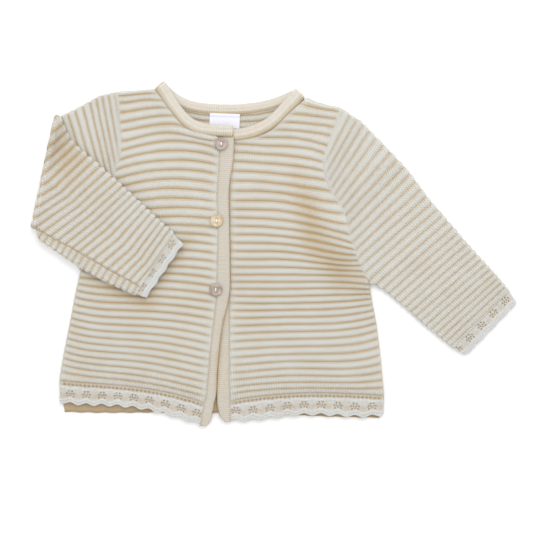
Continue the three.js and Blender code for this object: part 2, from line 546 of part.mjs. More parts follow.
// The turn over a shoulder, from height z0 to z1; hand is that of the stretch before it.
function neckTurn({ x, y, aheadX, aheadY, width }, z0, z1, hand) {
  const ahead = new THREE.Vector2(aheadX, aheadY).normalize();
  const seamWay = leftOf(ahead).multiplyScalar(hand);
  const radius = Math.abs(z1 - z0) / 2;
  return Array.from({ length: NECK_TURN_STEPS + 1 }, (_, i) => {
    const angle = (Math.PI * i) / NECK_TURN_STEPS;
    const reach = radius * Math.sin(angle);
    const z = (z0 + z1) / 2 + ((z0 - z1) / 2) * Math.cos(angle);
    return { centre: new THREE.Vector3(x + ahead.x * reach, y + ahead.y * reach, z), seamWay, width };
  });
}

function neckbandSolid() {
  const top = neckFrontRight[neckFrontRight.length - 1].z;
  const under = neckBack[0].z;
  const stations = [
    ...neckStretch(neckFrontRight, 1),
    ...neckTurn(neckTurnRight, top, under, 1),
    ...neckStretch(neckBack, -1),
    ...neckTurn(neckTurnLeft, under, top, -1),
    ...neckStretch(neckFrontLeft, 1),
  ];
  const path = new THREE.CatmullRomCurve3(stations.map(({ centre }) => centre), false, "centripetal");
  const steps = stations.length - 1;
  const sectionAt = (t) => {
    const i = Math.min(Math.floor(t), steps - 1);
    const share = t - i;
    const centre = path.getPoint(t / steps);
    const forward = path.getTangent(t / steps);
    const flat = stations[i].seamWay.clone().lerp(stations[i + 1].seamWay, share).normalize();
    const seamWay = new THREE.Vector3(flat.x, flat.y, 0);
    seamWay.addScaledVector(forward, -seamWay.dot(forward)).normalize();
    const face = forward.clone().cross(seamWay);
    const width = THREE.MathUtils.lerp(stations[i].width, stations[i + 1].width, share);
    return Array.from({ length: NECKBAND_SIDES }, (_, k) => {
      const angle = (2 * Math.PI * k) / NECKBAND_SIDES;
      const point = centre.clone().addScaledVector(seamWay, (width / 2) * Math.cos(angle));
      return point.addScaledVector(face, (NECKBAND_THICKNESS / 2) * Math.sin(angle));
    });
  };
  const sections = [];
  for (let i = 0; i < steps; i += 1) {
    const near = stations[i].centre.distanceTo(stations[i + 1].centre) < NECKBAND_THICKNESS;
    sections.push(sectionAt(i));
    if (!near) sections.push(sectionAt(i + 0.5));
  }
  sections.push(sectionAt(steps));
  return sectionSolid(sections);
}

// ---- buttons and label ----------------------------------------------------------------------
function toManifold(geometry) {
  const bare = geometry.clone();
  bare.deleteAttribute("normal");
  bare.deleteAttribute("uv");
  const merged = mergeVertices(bare, 1e-4);
  const vertProperties = new Float32Array(merged.getAttribute("position").array);
  const triVerts = new Uint32Array(merged.getIndex().array);
  return new wasm.Manifold(new wasm.Mesh({ numProp: 3, vertProperties, triVerts }));
}

function fromManifold(solid) {
  const { vertProperties, triVerts } = solid.getMesh();
  const geometry = new THREE.BufferGeometry();
  geometry.setAttribute("position", new THREE.BufferAttribute(vertProperties, 3));
  geometry.setIndex(new THREE.BufferAttribute(triVerts, 1));
  geometry.computeVertexNormals();
  return geometry;
}

// A round button with a raised rim and two holes, standing on its flat underside.
function buttonSolid() {
  const r = BUTTON_RADIUS;
  const h = BUTTON_THICKNESS;
  const profile = [
    [0, 0],
    [0.8 * r, 0],
    [r, 0.35 * h],
    [r, 0.75 * h],
    [0.9 * r, h],
    [0.74 * r, h],
    [0.6 * r, 0.68 * h],
    [0, 0.62 * h],
  ].map(([x, y]) => new THREE.Vector2(x, y));
  const disc = toManifold(new THREE.LatheGeometry(profile, 20).rotateX(Math.PI / 2));
  const holes = [-1, 1].map((side) => {
    const hole = new THREE.CylinderGeometry(BUTTON_HOLE_RADIUS, BUTTON_HOLE_RADIUS, 3 * h, 8);
    return toManifold(hole.rotateX(Math.PI / 2).translate(0, side * BUTTON_HOLE_OFFSET, 0));
  });
  return fromManifold(holes.reduce((solid, hole) => solid.subtract(hole), disc));
}

// ---- the garment ----------------------------------------------------------------------------
const garment = new THREE.Group();

function addPiece(name, geometry, material) {
  const mesh = new THREE.Mesh(geometry, material);
  mesh.name = name;
  garment.add(mesh);
  return mesh;
}

function addBody() {
  const edgingRight = edgingRows(frontRightRows.at(-1), hemRight);
  const edgingLeft = edgingRows(frontLeftRows.at(-1), hemLeft);
  addPiece("back", wallSolid(backGrid(), WALL), ribKnit);
  addPiece("front_right", wallSolid(frontGrid(rightTop, liftRight), WALL), ribKnit);
  addPiece("front_left", wallSolid(frontGrid(leftTop, liftLeft), WALL), ribKnit);
  const backEdging = edgingRows(backLastRow, hemBack).map((row) => backWall(tableRowPlaces(row)));
  addPiece("hem_lace_back", wallSolid(backEdging, LACE_WALL), pointelle);
  addPiece("hem_lace_right", wallSolid(frontGrid(edgingRight, liftRight), LACE_WALL), pointelle);
  addPiece("hem_lace_left", wallSolid(frontGrid(edgingLeft, liftLeft), LACE_WALL), pointelle);
  const banded = (rows) => rows.filter((row) => row.rib >= BAND_RIB);
  const bandRight = bandGrid([...banded(rightTop), ...edgingRight.slice(1)], bandRightWidths, 1, liftRight);
  const bandLeft = bandGrid([...banded(leftTop), ...edgingLeft.slice(1)], bandLeftWidths, -1, liftLeft);
  addPiece("band_right", wallSolid(bandRight, WALL), bandKnit);
  addPiece("band_left", wallSolid(bandLeft, WALL), bandKnit);
}

function addSleeves() {
  const right = sleevePieces(rightTop, sleeveRightRings, cuffRight);
  const left = sleevePieces(leftTop, sleeveLeftRings, cuffLeft);
  addPiece("sleeve_right", right.sleeve, ribKnit);
  addPiece("sleeve_left", left.sleeve, ribKnit);
  addPiece("cuff_lace_right", right.cuff, pointelle);
  addPiece("cuff_lace_left", left.cuff, pointelle);
}

function addTrims() {
  addPiece("neckband", neckbandSolid(), neckRib);
  for (const { name, x, y, z } of buttons) {
    addPiece(name, buttonSolid(), buttonShell).position.set(x, y, z);
  }
  const label = new THREE.BoxGeometry(labelCut.width, labelCut.height, LABEL_THICKNESS);
  const mesh = addPiece("label", label, tape);
  mesh.position.set(labelCut.x, labelCut.y, WALL + SEAM + LABEL_THICKNESS / 2);
  mesh.rotation.z = THREE.MathUtils.degToRad(labelCut.tilt);
}

addBody();
addSleeves();
addTrims();

// The origin is under the middle of the garment.
const box = new THREE.Box3().setFromObject(garment);
garment.position.set(-(box.min.x + box.max.x) / 2, -(box.min.y + box.max.y) / 2, -box.min.z);

export default garment;
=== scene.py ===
# A baby's ribbed cardigan laid flat, one sleeve folded over the front.
# Lengths are millimetres in the garment's own plan until mesh_piece() turns them into metres in
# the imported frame. +X is toward the wearer's left sleeve and +Y toward the neck.
import math

import bpy
import numpy as np
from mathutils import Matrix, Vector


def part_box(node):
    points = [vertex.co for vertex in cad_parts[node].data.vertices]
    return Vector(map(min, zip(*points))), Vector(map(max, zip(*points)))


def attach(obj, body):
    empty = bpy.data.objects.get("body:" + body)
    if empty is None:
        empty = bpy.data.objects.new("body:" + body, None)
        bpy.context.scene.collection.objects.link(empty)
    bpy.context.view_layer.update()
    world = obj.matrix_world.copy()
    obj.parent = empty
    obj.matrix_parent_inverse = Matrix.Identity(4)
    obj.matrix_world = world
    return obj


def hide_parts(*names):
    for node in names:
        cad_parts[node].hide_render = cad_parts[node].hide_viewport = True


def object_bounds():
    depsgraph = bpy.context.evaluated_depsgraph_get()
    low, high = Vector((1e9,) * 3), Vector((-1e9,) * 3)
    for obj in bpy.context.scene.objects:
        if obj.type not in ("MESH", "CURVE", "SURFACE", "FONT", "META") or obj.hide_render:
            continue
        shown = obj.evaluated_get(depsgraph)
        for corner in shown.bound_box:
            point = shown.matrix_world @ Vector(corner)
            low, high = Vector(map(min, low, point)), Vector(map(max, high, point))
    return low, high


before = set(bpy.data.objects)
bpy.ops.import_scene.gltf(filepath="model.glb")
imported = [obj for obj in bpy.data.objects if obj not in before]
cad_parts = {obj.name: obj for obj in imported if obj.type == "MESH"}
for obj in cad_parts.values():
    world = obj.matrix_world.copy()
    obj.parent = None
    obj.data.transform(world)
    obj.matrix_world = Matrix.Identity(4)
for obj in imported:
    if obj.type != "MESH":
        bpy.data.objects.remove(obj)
CAD_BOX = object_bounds()
MM = 0.001

# ---- dimensions -------------------------------------------------------------------------------
WALL = 2.0
TUCK = 0.3  # that one piece reaches into the next at a sewn seam
LACE_WALL = 1.5
LACE_INSIDE = 0.35  # from the middle of the edging's wall to its inner face
HOLLOW = 1.2  # between the back and the fronts
SEAM = 0.3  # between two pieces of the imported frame
INSET = WALL / 2 + 0.15  # of a wall's middle from the garment's outline
RISE = (WALL + HOLLOW) / 2  # from the middle of the flat bag to the middle of a wall
BAG_MID = WALL + HOLLOW / 2
FOLD_RADIUS = BAG_MID + SEAM / 2  # half the height from the bag's middle to the folded forearm's
LOWEST = 0.02  # no point lies lower than this
TURN_ANGLES = np.radians([0, 18, 36, 54, 72, 90])  # round a turned edge
TURN_DISTANCES = RISE * (1 - np.cos(TURN_ANGLES))

FIRST_RIB = -0.5  # the shoulder
ARMPIT_RIB = 21
PLAIN_RIB = 36  # from here the ribs stretch to end at the edging
LAST_RIB = 37.3
RIB_PITCH = 7.0
RIB_DEPTH = 1.15  # from the top of a rib to the bottom of a groove
RIB_SHARPNESS = 2.3  # above 1: wide ribs and narrow grooves
RIB_PHASES = [0.0, 0.12, 0.3, 0.5, 0.7, 0.88]  # where a rib is sampled
END_STEP = 0.03  # of a rib, from the first and last rows of a panel to the rows beside them
TOP_FADE = 1.5  # ribs over which a panel comes in from the outline at the shoulder
BEND_FADE_RIB = 12.0  # where the back's ribs have lost the bend of its neckline
RIB_UNEVEN = 0.12  # share by which the ribs' depth wanders
FINE_RIB_PITCH = 1.75  # of the front bands
NECK_RIB_PITCH = 1.9
STRIP_RIB_PITCH, BRAID_PITCH = 5.8, 2.9  # along the forearm's seam
# Painted shade: a wall's inner faces are darker than its outer faces.
INSIDE_SHADE = 0.55  # of a wall's inner face, beside its outer face

# How the fronts rise and sink where one lies on the other: heights, where and over what length.
OVERLAP_LIFT, OVERLAP_DIP = 1.4, 0.9
OVERLAP_LEAST, OVERLAP_LOW_Y, OVERLAP_LOW_REACH = 0.2, -74, 50
NECK_LIFT_Y, NECK_LIFT_REACH = 82, 12
LIFT_RIGHT_X, LIFT_LEFT_X, LIFT_REACH = -74, -12, 24

BAND_UNDER = 1.0  # how much wider the lower band is than what shows of it
BAND_UNDER_Y, BAND_UNDER_REACH = -128, 10  # where that ends
BAND_TOP_RIB = 4.6
BAND_EDGE_DROP = 0.25  # of a band's free edge
BAND_SHARES = np.array([0, 0.04, 0.08, 0.12, 0.17, 0.25, 0.4, 0.55, 0.7, 0.84, 0.94, 1.0])

NECK_TUCK = 1.9  # that the neckband's sewn edge reaches over the cloth
NECK_SIDES = 22
NECK_TURN_WIDTH = 9.0
NECK_MIDDLE_X = -38
NECK_DROP = 0.9  # of its sewn edge to the cloth on the fronts
NECK_TURN_DROP = 1.3  # more of it beside the shoulders
NECK_HALF_BACK, NECK_HALF_MORE = 1.5, 0.7  # half its thickness on the back, and what the fronts add

FAN_PITCH = 14.6  # of the edging's fans and scallops
LACE_CELL = 0.42
LACE_START = -TUCK
HEM_RAISE = 1.9  # of the scalloped edge over the table's line of its lowest points
HEM_ENDS = (2.3, 2.6)  # where a hem's run of fans starts and ends, beside the edging's own ends
HEM_SCALLOP, CUFF_SCALLOP, BACK_SCALLOP = 1.1, 0.55, 0.25
EYELET_PITCH = 3.5
EYELET = (2.4, 0.8)  # distance under the top of the edging, radius
# Holes of a fan: place beside its middle, distance from the scalloped edge, radius
FAN_HOLES = [
    (-1.4, 9.9, 0.62), (1.4, 9.9, 0.62), (-3.2, 8.3, 0.66), (3.2, 8.3, 0.66), (-1.2, 7.6, 0.6),
    (1.2, 7.6, 0.6), (-2.5, 5.8, 0.66), (2.5, 5.8, 0.66), (0.0, 5.9, 0.5),
]
NO_HOLE = 9.0  # a distance farther than any that matters beside a hole

MIDDLE_BUTTON = (-49.0, 28.4)  # its centre in the plan
BUTTON_HOLES_Y = (-1.55, 1.55)
BUTTON_HOLE_RADIUS = 0.85
BUTTON_GRID = 61
THREAD_TURNS, THREAD_RADIUS = 2.5, 0.24
LABEL_TILT = -2.2  # degrees
LABEL_STITCH = 3.5  # of its line of stitches, over its middle

VIEW_CENTRE = (-6.45, -10.75)
VIEW_WIDTH = 458.4
CAMERA_HEIGHT = 1.1  # metres
SENSOR_WIDTH = 36
FLOOR_GAP = 0.0002  # metres
LIGHT_SIZE = 1.2  # metres

# ---- tables -----------------------------------------------------------------------------------
# rib, outer end x and y, inner end x and y, rise at a quarter, a half and three quarters
FRONT_RIGHT = np.array([
    (-0.5, -134.0, 139.5, -102.6, 142.0, -0.3, -0.4, -0.3),
    (1, -133.0, 129.5, -95.0, 131.5, 0, 0.9, 0.9),
    (3, -132.0, 112.5, -84.6, 118.0, 1.0, 1.7, 1.7),
    (4, -131.5, 105.0, -76.5, 109.0, 1.7, 3.2, 3.4),
    (4.3, -131.3, 102.7, -66.0, 103.3, 3.2, 4.7, 5.0),
    (4.6, -131.0, 100.0, -47.0, 100.0, 4.4, 6.4, 2.4),
    (6, -131.5, 88.5, -47.0, 90.0, 5.0, 7.5, 5.6),
    (8, -136.0, 71.5, -47.5, 75.5, 5.3, 6.8, 5.4),
    (11, -147.0, 45.0, -49.0, 52.5, 5.2, 7.0, 5.0),
    (14, -156.0, 21.0, -48.5, 29.5, 4.4, 6.0, 4.6),
    (17, -161.5, 4.0, -48.5, 7.5, 3.8, 5.0, 4.0),
    (20, -164.5, -8.5, -49.0, -14.5, 1.8, 1.9, 2.0),
    (21, -166.5, -14.5, -49.0, -21.5, 1.3, 2.2, 2.4),
    (24, -170.5, -31.0, -50.0, -41.5, -1.9, 0.1, 1.1),
    (28, -175.0, -54.5, -53.5, -70.5, -1.6, 0.7, 1.9),
    (32, -179.5, -77.5, -56.0, -97.0, -1.3, 1.2, 1.4),
    (36, -183.5, -100.5, -58.5, -122.0, 0.2, 2.4, 2.4),
    (37.3, -184.5, -108.5, -60.0, -127.5, 2.0, 4.1, 3.8),
])
FRONT_LEFT = np.array([
    (-0.5, 56.5, 126.2, 27.6, 134.6, -0.9, -1.6, -1.4),
    (1, 54.0, 115.5, 12.5, 120.0, 0.3, 0.5, 0.6),
    (3, 49.0, 101.0, -1.5, 106.5, 1.0, 1.3, 1.0),
    (4, 46.5, 92.5, -14.0, 100.5, 2.3, 2.9, 1.4),
    (4.3, 45.5, 90.5, -26.0, 98.2, 2.8, 2.9, 1.5),
    (4.6, 44.5, 88.5, -37.9, 97.0, 3.4, 2.4, 0.9),
    (6, 42.0, 78.5, -37.9, 87.5, 2.2, 1.9, 1.1),
    (8, 44.5, 63.0, -37.9, 71.0, 1.4, 1.7, 1.4),
    (11, 60.0, 35.0, -37.9, 46.0, 0.8, 3.3, 2.4),
    (14, 67.5, 9.0, -37.9, 24.0, 3.4, 4.3, 3.0),
    (17, 72.5, -5.5, -37.9, 3.0, -0.3, 2.1, 1.4),
    (20, 79.0, -20.0, -37.9, -18.0, 0.9, 1.0, 0.7),
    (21, 82.5, -26.5, -37.9, -24.0, 1.7, 1.3, 0.6),
    (24, 84.5, -38.5, -37.9, -42.0, -1.7, -1.8, -1.4),
    (28, 88.5, -59.0, -37.9, -68.5, -3.9, -2.7, -1.1),
    (32, 92.0, -86.0, -37.9, -95.5, -3.7, -1.3, 0),
    (36, 94.5, -114.5, -37.6, -120.0, 0.5, 2.3, 2.6),
    (37.3, 95.0, -121.5, -37.5, -126.0, 2.8, 4.4, 3.6),
])
HEM_RIGHT = np.array((LAST_RIB, -184.5, -128.6, -63.5, -147.5, 2.1, 5.1, 4.1))
HEM_LEFT = np.array((LAST_RIB, 94.5, -139.0, -37.2, -144.0, -0.4, 2.1, 0.4))
BACK_LAST = np.array((LAST_RIB, -184.7, -119.5, 94.8, -124.0, 0, 0, 0))
HEM_BACK = np.array((LAST_RIB, -180.5, -135.5, 91.0, -140.5, 0.5, 1.6, 0.5))
BACK_NECKLINE = np.array([
    (-102.6, 140.8), (-93.5, 133.0), (-78.0, 125.0), (-62.0, 121.8), (-38.0, 120.6),
    (-14.0, 122.4), (2.0, 126.0), (15.0, 129.6), (27.6, 133.4),
])
# turn round the elbow fold (0 or 1), upper edge x and y, under edge x and y, bow toward the body
SLEEVE_LEFT = np.array([
    (0, 74.2, 114.4, 84.6, -26.0, 13),
    (0, 95.7, 92.7, 87.5, -27.8, 7),
    (0, 116.2, 70.6, 91.0, -29.8, 3),
    (0, 134.0, 47.0, 95.5, -32.6, 1),
    (0, 152.0, 26.0, 101.5, -37.5, 0),
    (0, 169.5, 5.5, 113.2, -47.4, 0),
    (0, 186.2, -12.4, 131.0, -63.0, 0),
    (0, 202.3, -31.5, 153.2, -80.9, 0),
])
CUFF_LEFT = np.array((0, 208.4, -41.2, 163.8, -87.2, 0))
SLEEVE_RIGHT = np.array([
    (0, -150.0, 135.8, -172.0, -6.0, 9),
    (0, -167.0, 126.5, -188.0, 8.0, 4),
    (0, -182.8, 118.5, -203.5, 21.0, 0),
    (1, -182.8, 118.5, -203.5, 21.0, 0),
    (1, -172.8, 97.2, -200.8, 12.5, 0),
    (1, -157.8, 83.5, -195.0, 8.0, 0),
    (1, -136.6, 65.0, -186.0, 2.2, 0),
    (1, -114.8, 44.8, -172.0, -7.5, 0),
    (1, -101.8, 32.5, -150.0, -20.4, 0),
    (1, -92.5, 24.0, -132.5, -28.9, 0),
    (1, -84.8, 17.0, -118.0, -35.3, 0),
])
CUFF_RIGHT = np.array((1, -77.2, 8.8, -109.4, -37.6, 0))
# The grooves of a sleeve, each a line through places across it: rib, then x and y of each place,
# from the under edge to the upper edge.
GROOVES_LEFT = np.array([
    (-4, 14.0, 95.0, 42.0, 144.0),
    (-2, 29.0, 84.0, 52.5, 128.0),
    (0, 43.0, 77.0, 62.8, 115.2),
    (3, 50.0, 57.5, 77.4, 98.9),
    (6, 59.3, 40.4, 93.7, 80.0),
    (9, 65.4, 17.2, 110.1, 61.9),
    (13, 80.0, -5.2, 130.7, 39.6),
    (17, 99.8, -24.1, 148.8, 18.9),
    (20, 113.5, -37.0, 161.7, 5.2),
    (25, 134.2, -57.6, 180.6, -17.2),
    (30, 153.9, -76.5, 197.8, -35.3),
    (32, 161.5, -83.0, 204.5, -42.0),
])
GROOVES_UPPER_ARM = np.array([
    (-2, -116.0, 70.0, -124.0, 126.0),
    (0, -126.0, 72.0, -134.2, 123.0),
    (2, -134.5, 68.0, -144.5, 120.4),
    (4, -143.0, 66.0, -154.8, 117.0),
    (6, -153.5, 64.0, -167.7, 113.5),
    (8, -166.0, 62.0, -180.6, 110.1),
    (11, -186.0, 58.0, -200.0, 105.0),
    (14, -206.0, 54.0, -220.0, 100.0),
])
GROOVES_FOREARM = np.array([
    (-6, -263.0, 42.0, -236.0, 93.0, -208.0, 118.5),
    (-3, -243.0, 32.0, -214.0, 80.5, -187.5, 104.1),
    (0, -228.5, 44.5, -197.8, 66.2, -172.0, 90.3),
    (3, -212.0, 33.0, -181.5, 52.5, -156.5, 76.5),
    (6, -194.4, 20.6, -166.8, 40.4, -141.0, 63.6),
    (9, -177.2, 8.6, -152.2, 28.4, -127.3, 51.6),
    (12, -160.8, -1.7, -138.5, 16.3, -115.2, 40.4),
    (15, -142.8, -13.8, -123.0, 3.4, -102.3, 29.2),
    (18, -125.6, -24.9, -109.2, -7.7, -90.3, 18.9),
    (21, -109.0, -35.5, -96.5, -18.0, -78.5, 8.0),
    (24, -93.0, -46.0, -84.0, -28.0, -67.0, -3.0),
])
UNDERARM_SEAM = np.array([
    (-206.0, 23.5), (-190.0, 14.0), (-172.0, 4.5), (-140.0, -14.0), (-108.0, -31.5),
])
# The bands' widths: y, width
BAND_RIGHT = np.array([
    (100, 13), (81, 12.5), (64, 11), (44, 10.2), (12, 10.6), (-28, 11.6), (-43, 10.6), (-57, 8.6),
    (-77, 7.9), (-100, 7.8), (-121, 8.8), (-140, 8.8), (-145, 7.4), (-148, 5.2),
])
BAND_LEFT = np.array([
    (97, 7.4), (0, 7.4), (-62, 8.2), (-78, 8.8), (-100, 9.8), (-121, 10.4), (-137, 9.8), (-144, 5),
])
# middle of the neckband x, y and z, and its width
NECK_FRONT_RIGHT = np.array([
    (-34.6, 105.6, 7.2, 9.2), (-44.7, 106.0, 7.2, 9.2), (-55.0, 106.8, 5.4, 9.2), (-65.4, 109.0, 4.6, 9.2),
    (-74.2, 114.2, 4.6, 9.0), (-81.0, 121.4, 4.6, 8.6), (-87.2, 130.0, 4.7, 8.4), (-91.8, 137.4, 4.8, 8.6),
])
NECK_BACK = np.array([
    (-92.3, 140.2, 1.6, 8.2), (-84.9, 134.4, 1.6, 7.6), (-75.3, 129.4, 1.6, 7.2), (-62.0, 126.3, 1.6, 7.2),
    (-38.0, 125.0, 1.6, 7.2), (-14.0, 127.0, 1.6, 7.2), (0.9, 130.6, 1.6, 7.2), (9.8, 133.8, 1.6, 7.6),
    (15.6, 136.2, 1.6, 8.0),
])
NECK_FRONT_LEFT = np.array([
    (17.6, 134.6, 4.8, 9.0), (12.4, 129.0, 4.7, 9.2), (5.8, 121.7, 4.6, 9.2), (-2.3, 113.8, 4.6, 9.2),
    (-12.4, 107.9, 4.5, 9.2), (-22.8, 104.4, 4.2, 9.2), (-32.7, 102.9, 3.8, 9.2), (-43.0, 102.5, 3.8, 9.0),
])
NECK_TURN_RIGHT = (-95.6, 143.4, -0.67, 0.74)
NECK_TURN_LEFT = (19.6, 137.2, 0.7, 0.71)
# Soft folds that a hand leaves in the cloth: x0, y0, x1, y1, half width, height
CREASES_LEFT = [
    (76, -12, 42, 4, 5.0, -0.7),
    (78, -4, 50, 14, 4.5, 0.6),
    (74, 6, 46, 20, 4.0, -0.6),
    (66, 22, 42, 30, 5.0, 0.5),
    (80, -30, 44, -12, 6.0, 0.5),
    (20, -100, 60, -60, 16.0, 0.5),
    (22, 62, 36, 6, 9.0, -0.5),
    (34, 10, 72, -30, 10.0, -0.5),
    (58, 38, 76, 0, 6.0, 0.5),
]
CREASES_RIGHT = [
    (-60, 92, -49, 84, 3.0, 0.6),
    (-62, 84, -50, 76, 3.0, -0.6),
    (-150, -60, -100, -100, 16.0, 0.5),
    (-70, 60, -56, 52, 4.0, -0.4),
]
# Painted shading, listed as the creases are: painted shade in the cloth's hollows, beside the folded cuff and
# along the right band's free edge (above 0), and painted light on its full places (below 0).
PAINTED_SHADING_LEFT = [
    (22, 62, 36, 6, 11.0, 0.3),
    (34, 10, 72, -30, 13.0, 0.36),
    (50, 84, 50, 44, 8.0, -0.16),
    (58, 38, 74, 0, 5.0, -0.16),
    (14, 106, 30, 90, 7.0, -0.12),
    # Painted shade on the left front beside the right band's free edge.
    (-34, 100, -37.4, 50, 2.0, 0.3),
    (-37.6, 60, -37.4, 0, 2.0, 0.3),
    (-37.4, 10, -37.2, -44, 2.0, 0.3),
]
# Painted shade on the bands along the right band's free edge.
PAINTED_SHADE_BAND = [
    (-37.8, -38, -43.6, -60, 1.8, 0.25),
    (-43.0, -56, -47.4, -90, 2.0, 0.3),
    (-47.0, -84, -49.3, -124, 2.2, 0.35),
]
# Painted shade beside and under the folded sleeve's cuff.
PAINTED_SHADING_RIGHT = [
    (-158, -16, -106, -42, 9.0, 0.36),
    (-111, -39, -74, 12, 6.5, 0.3),
]
CREASES_SLEEVE_LEFT = [
    (92, -24, 120, 10, 6.0, 0.5),
    (104, -34, 128, -8, 5.0, -0.5),
    (78, 104, 60, 70, 7.0, 0.4),
]
CREASES_SLEEVE_RIGHT = [
    (-196, 40, -168, 24, 8.0, 0.4),
    (-186, 84, -160, 62, 8.0, -0.4),
    (-120, -20, -96, 10, 6.0, 0.4),
]


# Columns of the tables of rows and of rings.
RIB, OUTER, INNER, RISES = 0, slice(1, 3), slice(3, 5), slice(5, 8)
TURN, UPPER, UNDER, BOW = 0, slice(1, 3), slice(3, 5), 5


def plan_centre(node):
    """Middle of a node's box in the garment's plan, its base and half its width."""
    low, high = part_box(node)
    centre = [(low[k] + high[k]) / 2 / MM - SHIFT[k] / MM for k in (0, 1)]
    return centre, low[2] / MM, (high[0] - low[0]) / 2 / MM


def plan_shift():
    """The garment's plan is placed by the middle button, whose centre in it is known."""
    low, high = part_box("button_middle")
    return np.array([(low[k] + high[k]) / 2 - MIDDLE_BUTTON[k] * MM for k in (0, 1)] + [0.0])


SHIFT = plan_shift()


# ---- curves -----------------------------------------------------------------------------------
def curve_through(xs, ys, x):
    """Monotone cubic pieces through rows of values ys at places xs."""
    xs = np.asarray(xs, float)
    ys = np.asarray(ys, float).reshape(len(xs), -1)
    if xs[-1] < xs[0]:
        xs, ys = xs[::-1], ys[::-1]
    steps = np.diff(xs)[:, None]
    slopes = np.diff(ys, axis=0) / steps
    tangents = np.empty_like(ys)
    tangents[0], tangents[-1] = slopes[0], slopes[-1]
    before, after = slopes[:-1], slopes[1:]
    product = before * after
    total = np.where(product > 0, before + after, 1.0)
    tangents[1:-1] = np.where(product > 0, 2 * product / total, 0.0)
    x = np.asarray(x, float)
    i = np.clip(np.searchsorted(xs, x, side="right") - 1, 0, len(xs) - 2)
    t = ((x - xs[i]) / steps[i, 0])[..., None]
    rest = 1 - t
    ends = rest * rest * (1 + 2 * t) * ys[i] + t * t * (3 - 2 * t) * ys[i + 1]
    return ends + steps[i] * t * rest * (rest * tangents[i] - t * tangents[i + 1])


def natural_spline(knots, values, at):
    count = len(knots)
    h = np.diff(knots)
    matrix = np.eye(count)
    right = np.zeros((count, values.shape[1]))
    for i in range(1, count - 1):
        matrix[i, i - 1 : i + 2] = (h[i - 1], 2 * (h[i - 1] + h[i]), h[i])
        right[i] = 6 * ((values[i + 1] - values[i]) / h[i] - (values[i] - values[i - 1]) / h[i - 1])
    bend = np.linalg.solve(matrix, right)
    i = np.clip(np.searchsorted(knots, at, side="right") - 1, 0, count - 2)
    a, b = (knots[i + 1] - at)[:, None], (at - knots[i])[:, None]
    hi = h[i][:, None]
    cubic = (bend[i] * a ** 3 + bend[i + 1] * b ** 3) / (6 * hi)
    cubic = cubic + (values[i] / hi - bend[i] * hi / 6) * a
    return cubic + (values[i + 1] / hi - bend[i + 1] * hi / 6) * b


def smooth_step(t):
    t = np.clip(t, 0, 1)
    return t * t * (3 - 2 * t)


def bell(x, middle, width):
    """A soft bump of height 1."""
    return np.exp(-(((x - middle) / width) ** 2))


def cosine(x, pitch):
    return np.cos(2 * np.pi * x / pitch)


def sine(x, pitch):
    return np.sin(2 * np.pi * x / pitch)


def rounded(t):
    """A quarter of a circle: 0 at 0, 1 from 1 on."""
    return np.sqrt(1 - (1 - np.clip(t, 0, 1)) ** 2)


def unit(vectors):
    return vectors / np.linalg.norm(vectors, axis=-1, keepdims=True)


def run_along(points, axis=0):
    """Distance along each line of points, from 0."""
    steps = np.linalg.norm(np.diff(points, axis=axis), axis=-1)
    return np.concatenate([np.zeros_like(np.take(steps, [0], axis)), np.cumsum(steps, axis)], axis)


def upward(middle):
    """Normals straight up at each place."""
    normal = np.zeros_like(middle)
    normal[..., 2] = 1
    return normal


def rise_at(share, rises):
    """A quartic through 0, three rises and 0 at the quarters of a row."""
    knots = (0, 0.25, 0.5, 0.75, 1)
    total = 0
    for j in (1, 2, 3):
        weight = 1.0
        for m in range(5):
            if m != j:
                weight = weight * (share - knots[m]) / (knots[j] - knots[m])
        total = total + weight * rises[..., j - 1, None]
    return total


def row_places(rows, shares):
    """Places (x, y) along each row at shares of its length: rows (R, 8), shares (R, C)."""
    out, inner = rows[:, None, OUTER], rows[:, None, INNER]
    places = out + (inner - out) * shares[..., None]
    places[..., 1] += rise_at(shares, rows[:, RISES])
    return places


def rows_at(table, ribs):
    return np.column_stack([ribs, curve_through(table[:, RIB], table[:, 1:], ribs)])


# ---- the form of the flat bag -----------------------------------------------------------------
def folded_edges():
    quarters = np.array([[0, 0.25, 0.5, 0.75, 1]])
    shoulders = [row_places(table[:1], quarters)[0] for table in (FRONT_RIGHT, FRONT_LEFT)]
    sides = []
    for table, hem, back_end in ((FRONT_RIGHT, HEM_RIGHT, OUTER), (FRONT_LEFT, HEM_LEFT, INNER)):
        sides.append(np.vstack([table[table[:, RIB] >= ARMPIT_RIB, OUTER], hem[OUTER], HEM_BACK[back_end]]))
    return [*shoulders, *sides]


FOLDED_EDGES = folded_edges()


def to_folded_edge(places):
    """Distance to the nearest folded edge and the unit way out to it."""
    best = np.full(places.shape[:-1], np.inf)
    way = np.zeros_like(places)
    for edge in FOLDED_EDGES:
        for a, b in zip(edge[:-1], edge[1:]):
            along = b - a
            share = np.clip(((places - a) @ along) / (along @ along), 0, 1)
            out = a + share[..., None] * along - places
            distance = np.linalg.norm(out, axis=-1)
            nearer = distance < best
            best = np.where(nearer, distance, best)
            way[nearer] = out[nearer] / np.maximum(distance[nearer], 1e-6)[:, None]
    return best, way


def turned(beyond, side):
    """Height of a turned wall over the bag's middle, and its normal's shares outward and up."""
    angle = np.arccos(np.clip(1 - beyond / RISE, 0, 1))
    height = side * (SEAM / 2 + (RISE - SEAM / 2) * np.sin(angle))
    return height, np.cos(angle), side * np.sin(angle)


def overlap_fade(y):
    return 1 - (1 - OVERLAP_LEAST) * smooth_step((OVERLAP_LOW_Y - y) / OVERLAP_LOW_REACH)


def lift_right(x, y):
    to_neckband = smooth_step((y - NECK_LIFT_Y) / NECK_LIFT_REACH)
    return (OVERLAP_LIFT * overlap_fade(y) + to_neckband) * smooth_step((x - LIFT_RIGHT_X) / LIFT_REACH)


def lift_left(x, y):
    return -OVERLAP_DIP * overlap_fade(y) * smooth_step((LIFT_LEFT_X - x) / LIFT_REACH)


def no_lift(x, y):
    return 0 * x


